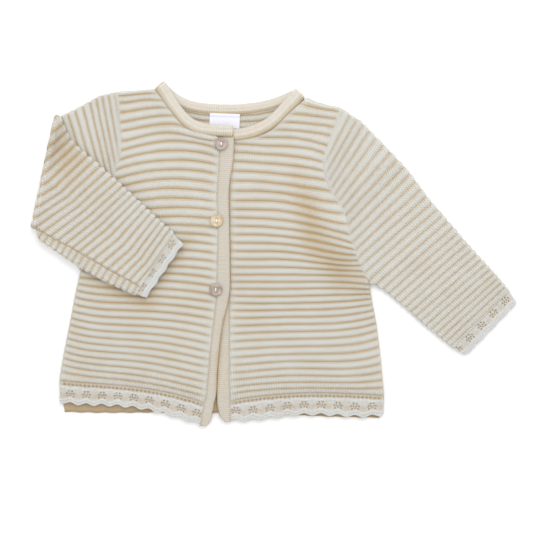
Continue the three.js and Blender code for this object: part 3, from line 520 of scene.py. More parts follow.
def crease_height(x, y, creases):
    height = 0 * x
    for x0, y0, x1, y1, width, rise in creases:
        ax, ay = x1 - x0, y1 - y0
        share = np.clip(((x - x0) * ax + (y - y0) * ay) / (ax * ax + ay * ay), 0, 1)
        distance = np.hypot(x - x0 - share * ax, y - y0 - share * ay)
        fade = np.sin(np.pi * np.clip(0.15 + 0.7 * share, 0, 1))
        height = height + rise * fade * bell(distance, 0, width)
    return height


def body_wall(places, side, lift=no_lift, creases=()):
    distance, out = to_folded_edge(places)
    height, out_share, up_share = turned(distance - INSET, side)
    x, y = places[..., 0], places[..., 1]
    inward = smooth_step((distance - 2) / 6)
    z = BAG_MID + height + lift(x, y) + crease_height(x, y, creases) * inward
    middle = np.stack([x, y, z], -1)
    normal = np.stack([out[..., 0] * out_share, out[..., 1] * out_share, up_share], -1)
    return middle, normal


# ---- closed shells ----------------------------------------------------------------------------
def rim_factor(middle, radius, edges="tblr", least=0.2):
    """Rounds the rim of a wall: 1 inside, falling to least at the edges named.

    The edges are its first and last row (t, b) and its first and last column (l, r).
    """
    near = np.full(middle.shape[:2], np.inf)
    for axis, first, last in ((0, "t", "b"), (1, "l", "r")):
        start = run_along(middle, axis)
        if first in edges:
            near = np.minimum(near, start)
        if last in edges:
            near = np.minimum(near, np.take(start, [-1], axis) - start)
    return least + (1 - least) * rounded(near / radius)


def quads_between(r, c, width):
    after = (c + 1) % width
    return np.stack([r * width + c, r * width + after, (r + 1) * width + after, (r + 1) * width + c], -1)


def volume_of(points, quads):
    """Six times the volume inside four-sided faces."""
    v = points[quads]
    return np.einsum("ij,ij->i", v[:, 0], np.cross(v[:, 1], v[:, 2]) + np.cross(v[:, 2], v[:, 3])).sum()


def shell(middle, normal, outer, inner, uv, relief, ringed=False, dropped=None):
    """A closed wall over a grid: outer and inner are the distances of its faces from the middle."""
    rows, cols = middle.shape[:2]
    steps = cols if ringed else cols - 1
    r, c = np.meshgrid(np.arange(rows - 1), np.arange(steps), indexing="ij")
    quads = quads_between(r, c, cols).reshape(-1, 4)
    uv_quads = quads_between(r, c, uv.shape[1]).reshape(-1, 4)
    if dropped is not None:
        kept = ~dropped.reshape(-1)
        quads, uv_quads = quads[kept], uv_quads[kept]
    count = rows * cols
    points = np.concatenate([
        (middle + normal * outer[..., None]).reshape(-1, 3),
        (middle - normal * inner[..., None]).reshape(-1, 3),
    ])
    corners = [(i, (i + 1) % 4) for i in range(4)]
    edges = np.concatenate([quads[:, pair] for pair in corners])
    uv_edges = np.concatenate([uv_quads[:, pair] for pair in corners])
    rim = ~np.isin(edges[:, 0] * count + edges[:, 1], edges[:, 1] * count + edges[:, 0])
    a, b = edges[rim, 0], edges[rim, 1]
    ua, ub = uv_edges[rim, 0], uv_edges[rim, 1]
    faces = np.concatenate([quads, quads[:, ::-1] + count, np.stack([b, a, a + count, b + count], -1)])
    uv_faces = np.concatenate([uv_quads, uv_quads[:, ::-1], np.stack([ub, ua, ua, ub], -1)])
    # The inner faces get painted shade.
    tone = np.concatenate([relief.reshape(-1), INSIDE_SHADE * relief.reshape(-1)])
    used = np.unique(faces)
    renumber = np.zeros(2 * count, int)
    renumber[used] = np.arange(len(used))
    faces, points, tone = renumber[faces], points[used], tone[used]
    if volume_of(points, faces) < 0:
        faces, uv_faces = faces[:, ::-1], uv_faces[:, ::-1]
    return points, faces.tolist(), uv.reshape(-1, 2)[uv_faces], tone


def mesh_piece(name, points, faces, uvs, relief, material):
    """A smooth object. Its colour follows the point attribute relief, which carries painted shade: 0 in a
    groove, 1 on a rib.
    """
    mesh = bpy.data.meshes.new(name)
    points = np.column_stack([points[:, :2], np.maximum(points[:, 2], LOWEST)])
    mesh.from_pydata((points * MM + SHIFT).tolist(), [], faces)
    layer = mesh.uv_layers.new(name="UVMap")
    layer.data.foreach_set("uv", np.ascontiguousarray(uvs, dtype=np.float32).reshape(-1))
    attribute = mesh.attributes.new("relief", "FLOAT", "POINT")
    attribute.data.foreach_set("value", np.ascontiguousarray(relief, dtype=np.float32))
    mesh.polygons.foreach_set("use_smooth", [True] * len(mesh.polygons))
    mesh.materials.append(material)
    mesh.update()
    piece = bpy.data.objects.new(name, mesh)
    bpy.context.scene.collection.objects.link(piece)
    return piece


def tube_piece(name, sections, uv, relief, material):
    """A closed tube through sections (N, K, 3)."""
    count, sides = sections.shape[:2]
    r, c = np.meshgrid(np.arange(count - 1), np.arange(sides), indexing="ij")
    quads = quads_between(r, c, sides).reshape(-1, 4)
    points = sections.reshape(-1, 3)
    caps = [list(range(sides))[::-1], list(range((count - 1) * sides, count * sides))]
    faces = quads.tolist() + caps
    if volume_of(points, quads) < 0:
        faces = [face[::-1] for face in faces]
    flat_uv = uv.reshape(-1, 2)
    loops = np.concatenate([flat_uv[np.array(face)] for face in faces])
    return mesh_piece(name, points, faces, loops, relief.reshape(-1), material)


def dress(piece, node):
    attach(piece, "root")
    if node:
        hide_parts(node)


# ---- knitted panels ---------------------------------------------------------------------------
def rib_profile(phase):
    """0 at the bottom of a groove, 1 on top of a rib."""
    away = np.abs(phase - np.round(phase)) * 2
    return 1 - (1 - away) ** RIB_SHARPNESS


def rib_stations(first, last):
    whole = np.arange(math.floor(first), math.ceil(last) + 1)
    stations = (whole[:, None] + np.array(RIB_PHASES)).reshape(-1)
    inside = stations[(stations > first + 0.05) & (stations < last - 0.05)]
    return np.concatenate([[first, first + END_STEP], inside, [last - END_STEP, last]])


def wobble(x, y, seed):
    """A gentle unevenness, the same on each run."""
    a, b, c = seed * 1.7, seed * 2.9, seed * 0.6
    coarse = np.sin(x / 9.7 + a) * np.sin(y / 7.3 + b)
    return (coarse + np.sin(x / 4.1 - y / 6.5 + c) * 0.5 + np.sin(x / 23 + y / 17 + b)) / 2.5


def turned_shares(ribs, length):
    """Shares of a row over its turned edge, which starts at the seam above the armpit."""
    start = SEAM / 2 + (INSET - SEAM / 2) * smooth_step((ribs - ARMPIT_RIB + 0.5) / 0.5)
    return (start[:, None] + TURN_DISTANCES) / length[:, None]


def shoulder_inset(ribs):
    return INSET * np.clip(1 - (ribs - FIRST_RIB) / TOP_FADE, 0, 1)


def rib_uv(along, ribs):
    return np.stack([along, np.broadcast_to(ribs[:, None] * RIB_PITCH, along.shape)], -1)


def front_panel(name, table, lift, creases, painted_shading, material, seed):
    ribs = rib_stations(FIRST_RIB, LAST_RIB)
    rows = rows_at(table, ribs)
    turn = turned_shares(ribs, np.linalg.norm(rows[:, INNER] - rows[:, OUTER], axis=1))
    rest = turn[:, -1:] + (1 - turn[:, -1:]) * np.linspace(0, 1, 92)[1:]
    rows[:, [2, 4]] -= shoulder_inset(ribs)[:, None]
    places = row_places(rows, np.concatenate([turn, rest], axis=1))
    middle, normal = body_wall(places, 1, lift, creases)
    x, y = places[..., 0], places[..., 1]
    along = run_along(places, 1)
    stretched = PLAIN_RIB + (ribs - PLAIN_RIB) / (LAST_RIB - PLAIN_RIB)
    numbers = np.where(ribs > PLAIN_RIB, stretched, ribs)[:, None]
    phase = numbers + 0.035 * wobble(x, y, seed) * smooth_step((37 - numbers) * 4)
    # The ribs flatten toward the band and the side.
    strength = 0.3 + 0.7 * smooth_step((along[:, -1:] - along + 1) / 9) * smooth_step((along + 1.5) / 4)
    relief = 1 - strength * (1 - rib_profile(phase))
    depth = RIB_DEPTH * (1 + RIB_UNEVEN * wobble(x, y, seed + 3))
    outer = WALL / 2 - depth * (1 - relief)
    rim = rim_factor(middle, 1.0, "tl", least=0.5)
    # Tone: the grooves' painted shade, fainter low on the body, and the painted shading of the hollows and
    # full places.
    contrast = 0.9 - 0.14 * smooth_step((-50 - y) / 30)
    tone = np.clip(1 - contrast * (1 - relief) - crease_height(x, y, painted_shading), 0, 1.1)
    parts = shell(middle, normal, outer * rim, (WALL / 2) * rim, rib_uv(along, ribs), tone)
    return mesh_piece(name, *parts, material)


def back_panel(material):
    ribs = rib_stations(FIRST_RIB, LAST_RIB)
    last = smooth_step((ribs - 30) / (LAST_RIB - 30))[:, None]
    out = rows_at(FRONT_RIGHT, ribs)[:, OUTER] + last * (BACK_LAST[OUTER] - FRONT_RIGHT[-1, OUTER])
    end = rows_at(FRONT_LEFT, ribs)[:, OUTER] + last * (BACK_LAST[INNER] - FRONT_LEFT[-1, OUTER])
    turn = turned_shares(ribs, np.linalg.norm(end - out, axis=1))
    between = turn[:, -1:] + (1 - 2 * turn[:, -1:]) * np.linspace(0, 1, 72)[1:-1]
    shares = np.concatenate([turn, between, 1 - turn[:, ::-1]], axis=1)
    places = out[:, None] + (end - out)[:, None] * shares[..., None]
    # The rows near the neck follow the shoulders and the neckline.
    on_shoulder = np.array([[0, 0.35, 0.7]])
    right_shoulder = row_places(FRONT_RIGHT[:1], on_shoulder)[0]
    left_shoulder = row_places(FRONT_LEFT[:1], on_shoulder)[0][::-1]
    top = np.vstack([right_shoulder - (0, INSET), BACK_NECKLINE, left_shoulder - (0, INSET)])
    chord = out[0] + (end[0] - out[0]) * shares[..., None]
    bend = np.interp(chord[..., 0], top[:, 0], top[:, 1]) - chord[..., 1]
    fade = np.clip(1 - (ribs - FIRST_RIB) / BEND_FADE_RIB, 0, 1) ** 2
    places[..., 1] += bend * fade[:, None]
    middle, normal = body_wall(places, -1)
    along = run_along(places, 1)
    plain = smooth_step((ribs[:, None] + 0 * along - 36.15) / 0.3)
    relief = 1 - (1 - 0.85 * plain) * 0.9 * (1 - rib_profile(ribs[:, None]))
    rim = rim_factor(middle, 1.6, "lr")
    outer = (WALL / 2 - 0.25 * (1 - relief)) * rim
    inner = (WALL / 2 - RIB_DEPTH * 0.9 * (1 - relief)) * rim
    points, faces, uvs, _ = shell(middle, normal, outer, inner, rib_uv(along, ribs), relief)
    # Its inside shows, so both faces take the grooves' painted shade in full, without the inner faces'
    # painted shade.
    both_faces = np.tile(relief.reshape(-1), 2)  # its inside shows, in the full tones
    return mesh_piece("cloth_back", points, faces, uvs, both_faces, material)


# ---- sleeves ----------------------------------------------------------------------------------
def groove_field(places, grooves):
    """Rib number and distance along the rib at each place, from lines across the sleeve."""
    numbers = np.linspace(grooves[0, 0], grooves[-1, 0], 121)
    lines = curve_through(grooves[:, 0], grooves[:, 1:], numbers).reshape(len(numbers), -1, 2)
    flat = places.reshape(-1, 2)
    index = np.arange(len(flat))
    rib, along = np.zeros(len(flat)), np.zeros(len(flat))
    beyond = np.ones(len(flat), bool)
    base = np.zeros(len(numbers))
    for low_end, high_end in zip(lines[:, :-1].swapaxes(0, 1), lines[:, 1:].swapaxes(0, 1)):
        way = high_end - low_end
        size = np.linalg.norm(way, axis=1)
        relative = flat[:, None] - low_end[None]
        cross = (way[None, :, 0] * relative[..., 1] - way[None, :, 1] * relative[..., 0]) / size
        passed = cross * np.sign(cross[:, :1]) < 0
        change = np.where(passed.any(axis=1), np.argmax(passed, axis=1), len(numbers) - 1)
        change = np.maximum(change, 1)
        c0, c1 = cross[index, change - 1], cross[index, change]
        share = c0 / np.where(np.abs(c0 - c1) < 1e-9, 1, c0 - c1)
        number = numbers[change - 1] + share * (numbers[1] - numbers[0])
        reach = (relative[index, change] * way[change]).sum(axis=1) / size[change]
        rib = np.where(beyond, number, rib)
        along = np.where(beyond, base[change] + reach, along)
        beyond = beyond & (reach > size[change])
        base = base + size
    return rib.reshape(places.shape[:-1]), along.reshape(places.shape[:-1])


def armhole_line(table):
    ribs = np.linspace(FIRST_RIB, ARMPIT_RIB, 80)
    rows = rows_at(table, ribs)
    line = rows[:, OUTER] - unit(rows[:, OUTER] - rows[:, INNER]) * TUCK
    line[:, 1] -= shoulder_inset(ribs)
    line[:, 1] += INSET * smooth_step((ribs - ARMPIT_RIB + 1.5) / 1.5)
    return line


def ring_line(ring, shares, body_side):
    """Places along a ring, moved in from the outline at both ends."""
    up, under = ring[UPPER], ring[UNDER]
    length = np.linalg.norm(under - up)
    down = (under - up) / length
    across = np.array([down[1], -down[0]])
    reach = INSET + shares * (length - 2 * INSET)
    bow = 4 * shares * (1 - shares) * ring[BOW] * body_side * np.sign(across[0])
    return up + down * reach[:, None] + across * bow[:, None]


def sleeve_net(table, rings, body_side, shares):
    armhole = armhole_line(table)
    reach = run_along(armhole)
    first = np.column_stack([np.interp(shares, reach / reach[-1], armhole[:, k]) for k in (0, 1)])
    return np.array([first, *[ring_line(ring, shares, body_side) for ring in rings]])


def side_shares(count):
    """Shares along a ring: close together at both turned edges."""
    edge = np.array([0, 0.002, 0.006])
    return np.concatenate([edge, np.linspace(0, 1, count)[1:-1], 1 - edge[::-1]])


def both_sides(pair):
    """One grid all round a sleeve, from the grids of its two sides."""
    return np.concatenate([pair[0], pair[1][:, ::-1]], axis=1)


def sleeve_wall(nets, turns, across, creases):
    """Middles and normals all round a sleeve from its two nets of places in plan."""
    middles, normals = [], []
    seen = 1 if turns[-1] < 0.5 else -1
    for side, net in zip((1, -1), nets):
        ways = unit(np.gradient(net, axis=1))
        reach = run_along(net, 1)
        to_end = reach[:, -1:] - reach
        near = np.minimum(reach, to_end)
        height, out_share, up_share = turned(near, side)
        puff = crease_height(net[..., 0], net[..., 1], creases) * smooth_step((near - 1) / 6)
        height = height + np.where(turns[:, None] < 0.5, 1, -1) * puff * (side == seen)
        out = np.where(reach < to_end, -out_share, out_share)[..., None] * ways
        theta = np.pi * turns[:, None]
        radius = FOLD_RADIUS - height
        plan = net + across * (radius * np.sin(theta))[..., None]
        z = BAG_MID + FOLD_RADIUS - radius * np.cos(theta)
        middles.append(np.concatenate([plan, z[..., None]], -1))
        sideways = out - across * (up_share * np.sin(theta))[..., None]
        normals.append(np.concatenate([sideways, (up_share * np.cos(theta))[..., None]], -1))
    return both_sides(middles), both_sides(normals)


def net_between(net, turns, stations):
    """The net's rows at stations: straight from the armhole, smooth further on."""
    count = len(net)
    flat = net.reshape(count, -1)
    smooth = curve_through(np.arange(1, count), flat[1:], np.maximum(stations, 1))
    straight = flat[0] + (flat[1] - flat[0]) * stations[:, None]
    rows = np.where(stations[:, None] < 1, straight, smooth).reshape(len(stations), *net.shape[1:])
    return rows, np.interp(stations, np.arange(count), turns)


def measure(nets, turns):
    """Distance from the armhole to each row of a net, round the fold too."""
    middle = nets[0][:, nets[0].shape[1] // 2]
    plan = np.linalg.norm(np.diff(middle, axis=0), axis=1)
    return np.concatenate([[0], np.cumsum(np.hypot(plan, np.pi * FOLD_RADIUS * np.diff(turns)))])


def to_line(places, line):
    """Signed distance from a broken line and the distance along it."""
    best = np.full(places.shape[:-1], np.inf)
    signed, along = np.zeros_like(best), np.zeros_like(best)
    start = 0.0
    for a, b in zip(line[:-1], line[1:]):
        step = b - a
        size = np.linalg.norm(step)
        share = np.clip(((places - a) @ step) / size ** 2, 0, 1)
        out = places - a - share[..., None] * step
        distance = np.linalg.norm(out, axis=-1)
        nearer = distance < best
        side = np.sign(step[0] * out[..., 1] - step[1] * out[..., 0])
        signed = np.where(nearer, side * distance, signed)
        along = np.where(nearer, start + share * size, along)
        best = np.where(nearer, distance, best)
        start += size
    return signed, along


def fold_way(rings):
    """The way in plan that the sleeve's fold bulges: across its first turned ring."""
    ring = rings[np.argmax(rings[:, TURN] > 0)]
    down = unit(ring[UNDER] - ring[UPPER])
    return np.array([down[1], -down[0]])


def underarm_seam(flat, facing, profile, strength):
    """The forearm's seam: a zigzag groove and a braid, with short ribs across the strip below."""
    signed, beside = to_line(flat, UNDERARM_SEAM)
    on_seam = facing & (flat[..., 0] < -100)
    strip = on_seam & (signed < 0)
    profile = np.where(strip, rib_profile(beside / STRIP_RIB_PITCH + 0.3), profile)
    groove = bell(signed, 0.45 * sine(beside, BRAID_PITCH), 0.75)
    braid = bell(signed, -1.9, 0.8) * (0.6 + 0.4 * sine(beside, BRAID_PITCH))
    dip = np.where(on_seam, -0.85 * groove + 0.35 * braid, 0)
    profile = np.where(on_seam, profile * (1 - 0.7 * groove), profile)
    return profile, np.where(strip, 0.75, strength), dip, strip


def sleeve(name, table, rings, body_side, counts, rows, fields, creases, material, seed):
    """counts: stations along the upper and the under side. rows: rings from the armhole to the cuff."""
    nets = [sleeve_net(table, rings, body_side, side_shares(count)) for count in counts]
    turns = np.concatenate([[0], rings[:, TURN]])
    reach = measure(nets, turns)
    wanted = np.linspace(0, reach[-1], rows)
    stations = np.interp(wanted, reach, np.arange(len(reach)))
    dense = [net_between(net, turns, stations) for net in nets]
    turns = dense[0][1]
    nets = [rows_of_net for rows_of_net, _ in dense]
    across = fold_way(rings)
    middle, normal = sleeve_wall(nets, turns, across, creases)
    past = np.where(turns < 0.5, turns, 1 - turns) * np.pi * FOLD_RADIUS
    flat = both_sides(nets) + across * past[:, None, None]
    x, y = flat[..., 0], flat[..., 1]
    folded = (turns >= 0.5)[:, None]
    upper, lower = groove_field(flat, fields[0]), groove_field(flat, fields[-1])
    phase, along = (np.where(folded, below, above) for below, above in zip(lower, upper))
    phase = phase + 0.04 * wobble(x, y, seed)
    to_cuff = wanted[-1] - wanted
    strength = smooth_step((wanted - 0.5) / 3) * smooth_step((to_cuff + 0.5) / 3.5)
    strength = 0.3 + 0.7 * strength[:, None]
    profile = rib_profile(phase)
    dip, painted_light_and_shade = 0, 0
    if folded.any():
        facing = folded & (np.arange(phase.shape[1])[None, :] >= nets[0].shape[1])
        profile, strength, dip, strip = underarm_seam(flat, facing, profile, strength)
        # Painted shade beside the fold and in the seam's strip, and painted light in the middle of the
        # forearm.
        fold_shade = bell(x, -179, 20) * bell(y, 84, 26)
        full = bell(x, -108, 26) * bell(y, 42, 24)
        painted_light_and_shade = (0.14 * full - 0.32 * fold_shade) * folded - 0.14 * strip
    relief = 1 - strength * (1 - profile)
    depth = RIB_DEPTH * 0.95 * (1 + RIB_UNEVEN * wobble(x, y, seed + 2))
    rim = rim_factor(middle, 1.2, "t", least=0.5)
    # The ribs stand out where they turn round the sleeve's edges.
    edge = np.zeros_like(phase)
    for column in (0, nets[0].shape[1]):
        away = np.linalg.norm(middle - middle[:, column : column + 1], axis=-1)
        edge = np.maximum(edge, bell(away, 0, 2.2))
    puff = np.where(folded, 1.1, 0.3) * edge * strength * (profile - 0.35)
    outer = (WALL / 2 + 0.15 - depth * (1 - relief) + dip) * rim + puff
    # Painted shade in the grooves, fainter toward +X, and a painted highlight where the ribs turn round the
    # sleeve's edges.
    contrast = 0.78 - 0.2 * smooth_step(x / 60)
    tone = np.clip(1 - contrast * (1 - relief - painted_light_and_shade) + 0.12 * edge, 0, 1.1)
    uv = np.stack([along, phase * RIB_PITCH], -1)
    parts = shell(middle, normal, outer, WALL / 2 * rim * 0.8, uv, tone, ringed=True)
    return mesh_piece(name, *parts, material)


# ---- pointelle edging -------------------------------------------------------------------------
def nearest_of(holes):
    """Distance outside the nearest hole and the unit way to it from (dx, dy, radius, allowed)."""
    best = np.full(holes[0][0].shape, NO_HOLE)
    gx, gy = np.zeros_like(best), np.zeros_like(best)
    for dx, dy, radius, allowed in holes:
        away = np.hypot(dx, dy)
        gap = np.where(allowed, away - radius, NO_HOLE)
        nearer = gap < best
        best = np.where(nearer, gap, best)
        gx = np.where(nearer, dx / np.maximum(away, 1e-6), gx)
        gy = np.where(nearer, dy / np.maximum(away, 1e-6), gy)
    return best, gx, gy


def nearest_hole(s, t, e, pitch, eyelets, ends, first):
    """The nearest hole of an edging: s runs beside it, t down from its top, e up from its scallops."""
    start, end = ends
    centre = (np.floor((s - first) / pitch) + 0.5) * pitch + first
    in_run = (centre > start + 4) & (centre < end - 4)
    holes = [(centre + beside, e, height, radius, -1, in_run) for beside, height, radius in FAN_HOLES]
    if eyelets:
        row = (np.floor(s / EYELET_PITCH) + 0.5) * EYELET_PITCH
        holes.append((row, t, *EYELET, 1, (s > start + 2) & (s < end - 2)))
    return nearest_of([
        (s - at, sense * (across - place), radius, allowed)
        for at, across, place, radius, sense, allowed in holes
    ])


def scallop(s, pitch, start, depth):
    return -depth * cosine(s - start - pitch / 2, pitch)


def lace_relief(s, t, e, pitch, start, eyelets):
    """Height of the edging's face and its tone, which carries painted shade: lighter on the ridges, darker in
    the hollows between the fans, along the row of eyelets, at the top seam and in the valley between the
    edge's ridges.
    """
    from_fan = s - start - pitch / 2
    wave = cosine(from_fan, pitch)
    beside_fan = 0.5 - 0.5 * wave
    top_band = bell(t, 5.0 + 0.6 * wave, 1.15) if eyelets else 0 * s
    inner_ridge = bell(e, 3.5, 0.85)
    outer_ridge = bell(e, 0.9, 0.75)
    between = bell(e, 7.6, 2.2) * beside_fan
    twist = 0.8 + 0.2 * cosine(s, 1.8)
    height = (0.45 * top_band + 0.36 * inner_ridge + 0.3 * outer_ridge) * twist - 0.3 * between - 0.1
    # Painted shade: the ridges are lighter than the rest, the hollows between the fans darker.
    base = 0.76 if eyelets else 0.86
    tone = base + (1 - base) * np.clip(top_band + inner_ridge + outer_ridge, 0, 1)
    tone = tone - 0.25 * between * (1.6 - base)
    # Painted shade along the row of eyelets, at the top seam and in the valley between the edge's ridges.
    if eyelets:
        tone = tone - 0.32 * bell(t, EYELET[0], 1.3) - 0.4 * bell(t, 0, 0.9)
    tone = tone - 0.1 * bell(e, 2.2, 0.5)
    rays = bell(e, 7.6, 2.6) * (1 - beside_fan) * cosine(from_fan, 2.6)
    return height + 0.16 * rays, np.clip(tone, 0, 1)


def lace_piece(name, middle, normal, s, t, e, pitch, ends, first, eyelets, material):
    """A wall of edging. Its holes reach past the middle of the wall, down to a thin net."""
    gap, gs, gt = nearest_hole(s, t, e, pitch, eyelets, ends, first)
    inside = gap < 0.1
    by_s = np.gradient(middle, axis=1) / np.maximum(np.gradient(s, axis=1), 1e-3)[..., None]
    by_t = np.gradient(middle, axis=0) / np.maximum(np.gradient(t, axis=0), 1e-3)[..., None]
    move = np.where(np.abs(gap) < 0.3, -gap, 0)[..., None]
    middle = middle + move * (by_s * gs[..., None] + by_t * gt[..., None])
    height, tone = lace_relief(s, t, e, pitch, first, eyelets)
    rounding = 0.55 + 0.45 * rounded(gap / 0.8)
    outer = np.where(inside, -0.1, (LACE_WALL / 2 + height) * rounding)
    # Painted shade in the holes and round their rims.
    tone = np.where(inside, 0.1, tone - 0.2 * (1 - np.clip(gap / 0.8, 0, 1)))
    rim = rim_factor(middle, 0.9, "lbr" if eyelets else "b")
    uv = np.stack([s, t], -1)
    parts = shell(middle, normal, outer * rim, LACE_INSIDE * rim, uv, np.clip(tone, 0, 1), ringed=not eyelets)
    return mesh_piece(name, *parts, material)


def between_rows(edges, full, count):
    """Distances down from the top, and the places, of count rows of an edging as high as full."""
    t = LACE_START + np.linspace(0, 1, count)[:, None] * (full - LACE_START)
    height = np.linalg.norm(edges[1] - edges[0], axis=1)
    return t, edges[0] + (edges[1] - edges[0]) * (t / height)[..., None]


def hem_lace(name, top, bottom, lift, material):
    length = np.linalg.norm(top[INNER] - top[OUTER])
    turn = (INSET + TURN_DISTANCES) / length
    rest = np.linspace(0, 1, int(length / LACE_CELL))[1:]
    shares = np.concatenate([turn, turn[-1] + (1 - turn[-1]) * rest])
    edges = row_places(np.array([top, bottom]), np.array([shares, shares]))
    s = shares * length
    start, end = s[0] + HEM_ENDS[0], s[-1] + HEM_ENDS[1]
    pitch = (end - start) / round((end - start) / FAN_PITCH)
    height = np.linalg.norm(edges[1] - edges[0], axis=1)
    full = height - HEM_RAISE + scallop(s, pitch, start, HEM_SCALLOP)
    t, places = between_rows(edges, full, int(full.mean() / LACE_CELL) + 1)
    middle, normal = body_wall(places, 1, lift)
    grid_s = np.broadcast_to(s, t.shape).copy()
    return lace_piece(name, middle, normal, grid_s, t, full - t, pitch, (s[0], s[-1]), start, True, material)


def back_hem(name, material):
    """The back's edging lies face down, so what shows is its plain inner face, in painted shade that darkens
    toward its scalloped edge.
    """
    length = BACK_LAST[3] - BACK_LAST[1]
    turn = (INSET + TURN_DISTANCES) / length
    shares = np.concatenate([turn, np.linspace(turn[-1], 1 - turn[-1], 150)[1:-1], 1 - turn[::-1]])
    edges = row_places(np.array([BACK_LAST, HEM_BACK]), np.array([shares, shares]))
    s = shares * length
    full = np.linalg.norm(edges[1] - edges[0], axis=1) + scallop(s, FAN_PITCH, 0, BACK_SCALLOP)
    t, places = between_rows(edges, full, 24)
    middle, normal = body_wall(places, -1)
    rim = rim_factor(middle, 1.2, "lbr")
    from_edge = full - t
    inner = (LACE_WALL / 2 + 0.1 * bell(from_edge, 1.0, 0.9) + 0.08 * cosine(t, 1.8)) * rim
    # Painted shade, darker toward the scalloped edge; dividing by the inner faces' shade factor keeps that
    # off this face, which shows.
    relief = 0.72 - 0.45 * smooth_step((2.6 - from_edge) / 1.6)
    uv = np.stack([s + 0 * t, t], -1)
    parts = shell(middle, normal, LACE_WALL / 2 * rim, inner, uv, relief / INSIDE_SHADE)
    return mesh_piece(name, *parts, material)


def cuff_lace(name, rings, cuff, body_side, material):
    end = rings[-1]
    length = np.linalg.norm(end[UNDER] - end[UPPER]) - 2 * INSET
    total = 2 * length
    shares = side_shares(int(length / LACE_CELL))
    edges = [ring_line(ring, shares, body_side) for ring in (end, cuff)]
    pitch = total / round(total / FAN_PITCH)
    height = np.linalg.norm(edges[1] - edges[0], axis=1)
    count = int(height.mean() / LACE_CELL) + 1
    nets, tops, bottoms, beside = [], [], [], []
    for s in (shares * length, total - shares * length):
        full = height + scallop(s, pitch, 0, CUFF_SCALLOP)
        t, places = between_rows(edges, full, count)
        nets.append(places)
        tops.append(t)
        bottoms.append(full - t)
        beside.append(np.broadcast_to(s, t.shape))
    middle, normal = sleeve_wall(nets, np.full(count, end[TURN]), fold_way(rings), ())
    s, t, e = (both_sides(grids) for grids in (beside, tops, bottoms))
    return lace_piece(name, middle, normal, s, t, e, pitch, (-pitch, total + pitch), 0.0, False, material)


# ---- bands and neckband -----------------------------------------------------------------------
def front_band(name, table, hem, widths, way, lift, material):
    ribs = np.linspace(BAND_TOP_RIB, LAST_RIB, 780)
    inner = rows_at(table, ribs)[:, INNER]
    tail = np.linspace(0, 1, 46)[1:, None]
    inner = np.vstack([inner, inner[-1] + (hem[INNER] - inner[-1]) * tail])
    width = curve_through(widths[:, 0], widths[:, 1:], inner[:, 1])
    if way < 0:
        width = width + BAND_UNDER * (1 - smooth_step((BAND_UNDER_Y - inner[:, 1:]) / BAND_UNDER_REACH))
    across = width * BAND_SHARES
    x = inner[:, :1] + way * (across - TUCK * (1 - BAND_SHARES))
    y = np.broadcast_to(inner[:, 1:], x.shape)
    z = BAG_MID + RISE + lift(x, y) - BAND_EDGE_DROP * smooth_step((BAND_SHARES - 0.75) / 0.25)
    middle = np.stack([x, y, z], -1)
    down = run_along(inner)[:, None]
    fine = 0.5 - 0.5 * cosine(down + 0.25 * wobble(x, y, 5), FINE_RIB_PITCH)
    rim = rim_factor(middle, 1.3, "tbr", least=0.15)
    seam = bell(across, 0.9 + 0.45 * sine(down, 3.2), 0.5)
    outer = (WALL / 2 - 0.05 - 0.25 * fine + 0.12 * np.sin(np.pi * BAND_SHARES) - 0.4 * seam) * rim
    # Painted shade in the fine ribs' grooves, in the sewn seam's zigzag, at the free edge and along the right
    # band's free edge.
    free_edge_shade = 0.25 * smooth_step((BAND_SHARES - 0.84) / 0.16)
    free_edge_shade = free_edge_shade + 0.4 * smooth_step((BAND_SHARES - 0.95) / 0.05)
    relief = 0.97 - 0.26 * fine - 0.42 * seam - free_edge_shade - crease_height(x, y, PAINTED_SHADE_BAND)
    uv = np.stack([across, np.broadcast_to(down, x.shape)], -1)
    parts = shell(middle, upward(middle), outer, 0.85 * (0.65 + 0.35 * rim), uv, relief)
    return mesh_piece(name, *parts, material)


def left_of(way):
    return np.array([-way[1], way[0]])


def neck_stretch(rows, hand):
    """Centre, way to the sewn edge and width at each row of the neckband."""
    for i, row in enumerate(rows):
        way = (rows[min(len(rows) - 1, i + 1)] - rows[max(0, i - 1)])[:2]
        yield row[:3], hand * left_of(unit(way)), row[3]


def neck_turn(place, z0, z1):
    """The neckband's U-turn over a shoulder, from height z0 to z1."""
    x, y, *ahead = place
    ahead = np.array(ahead) / math.hypot(*ahead)
    for angle in np.linspace(0, np.pi, 7):
        out = abs(z1 - z0) / 2 * math.sin(angle)
        z = (z0 + z1) / 2 + (z0 - z1) / 2 * math.cos(angle)
        yield np.array([x + ahead[0] * out, y + ahead[1] * out, z]), left_of(ahead), NECK_TURN_WIDTH


def neck_stations():
    top, under = NECK_FRONT_RIGHT[-1, 2], NECK_BACK[0, 2]
    stations = [
        *neck_stretch(NECK_FRONT_RIGHT, 1),
        *neck_turn(NECK_TURN_RIGHT, top, under),
        *neck_stretch(NECK_BACK, -1),
        *[(centre, -seam, width) for centre, seam, width in neck_turn(NECK_TURN_LEFT, under, top)],
        *neck_stretch(NECK_FRONT_LEFT, 1),
    ]
    return [np.array(column) for column in zip(*stations)]


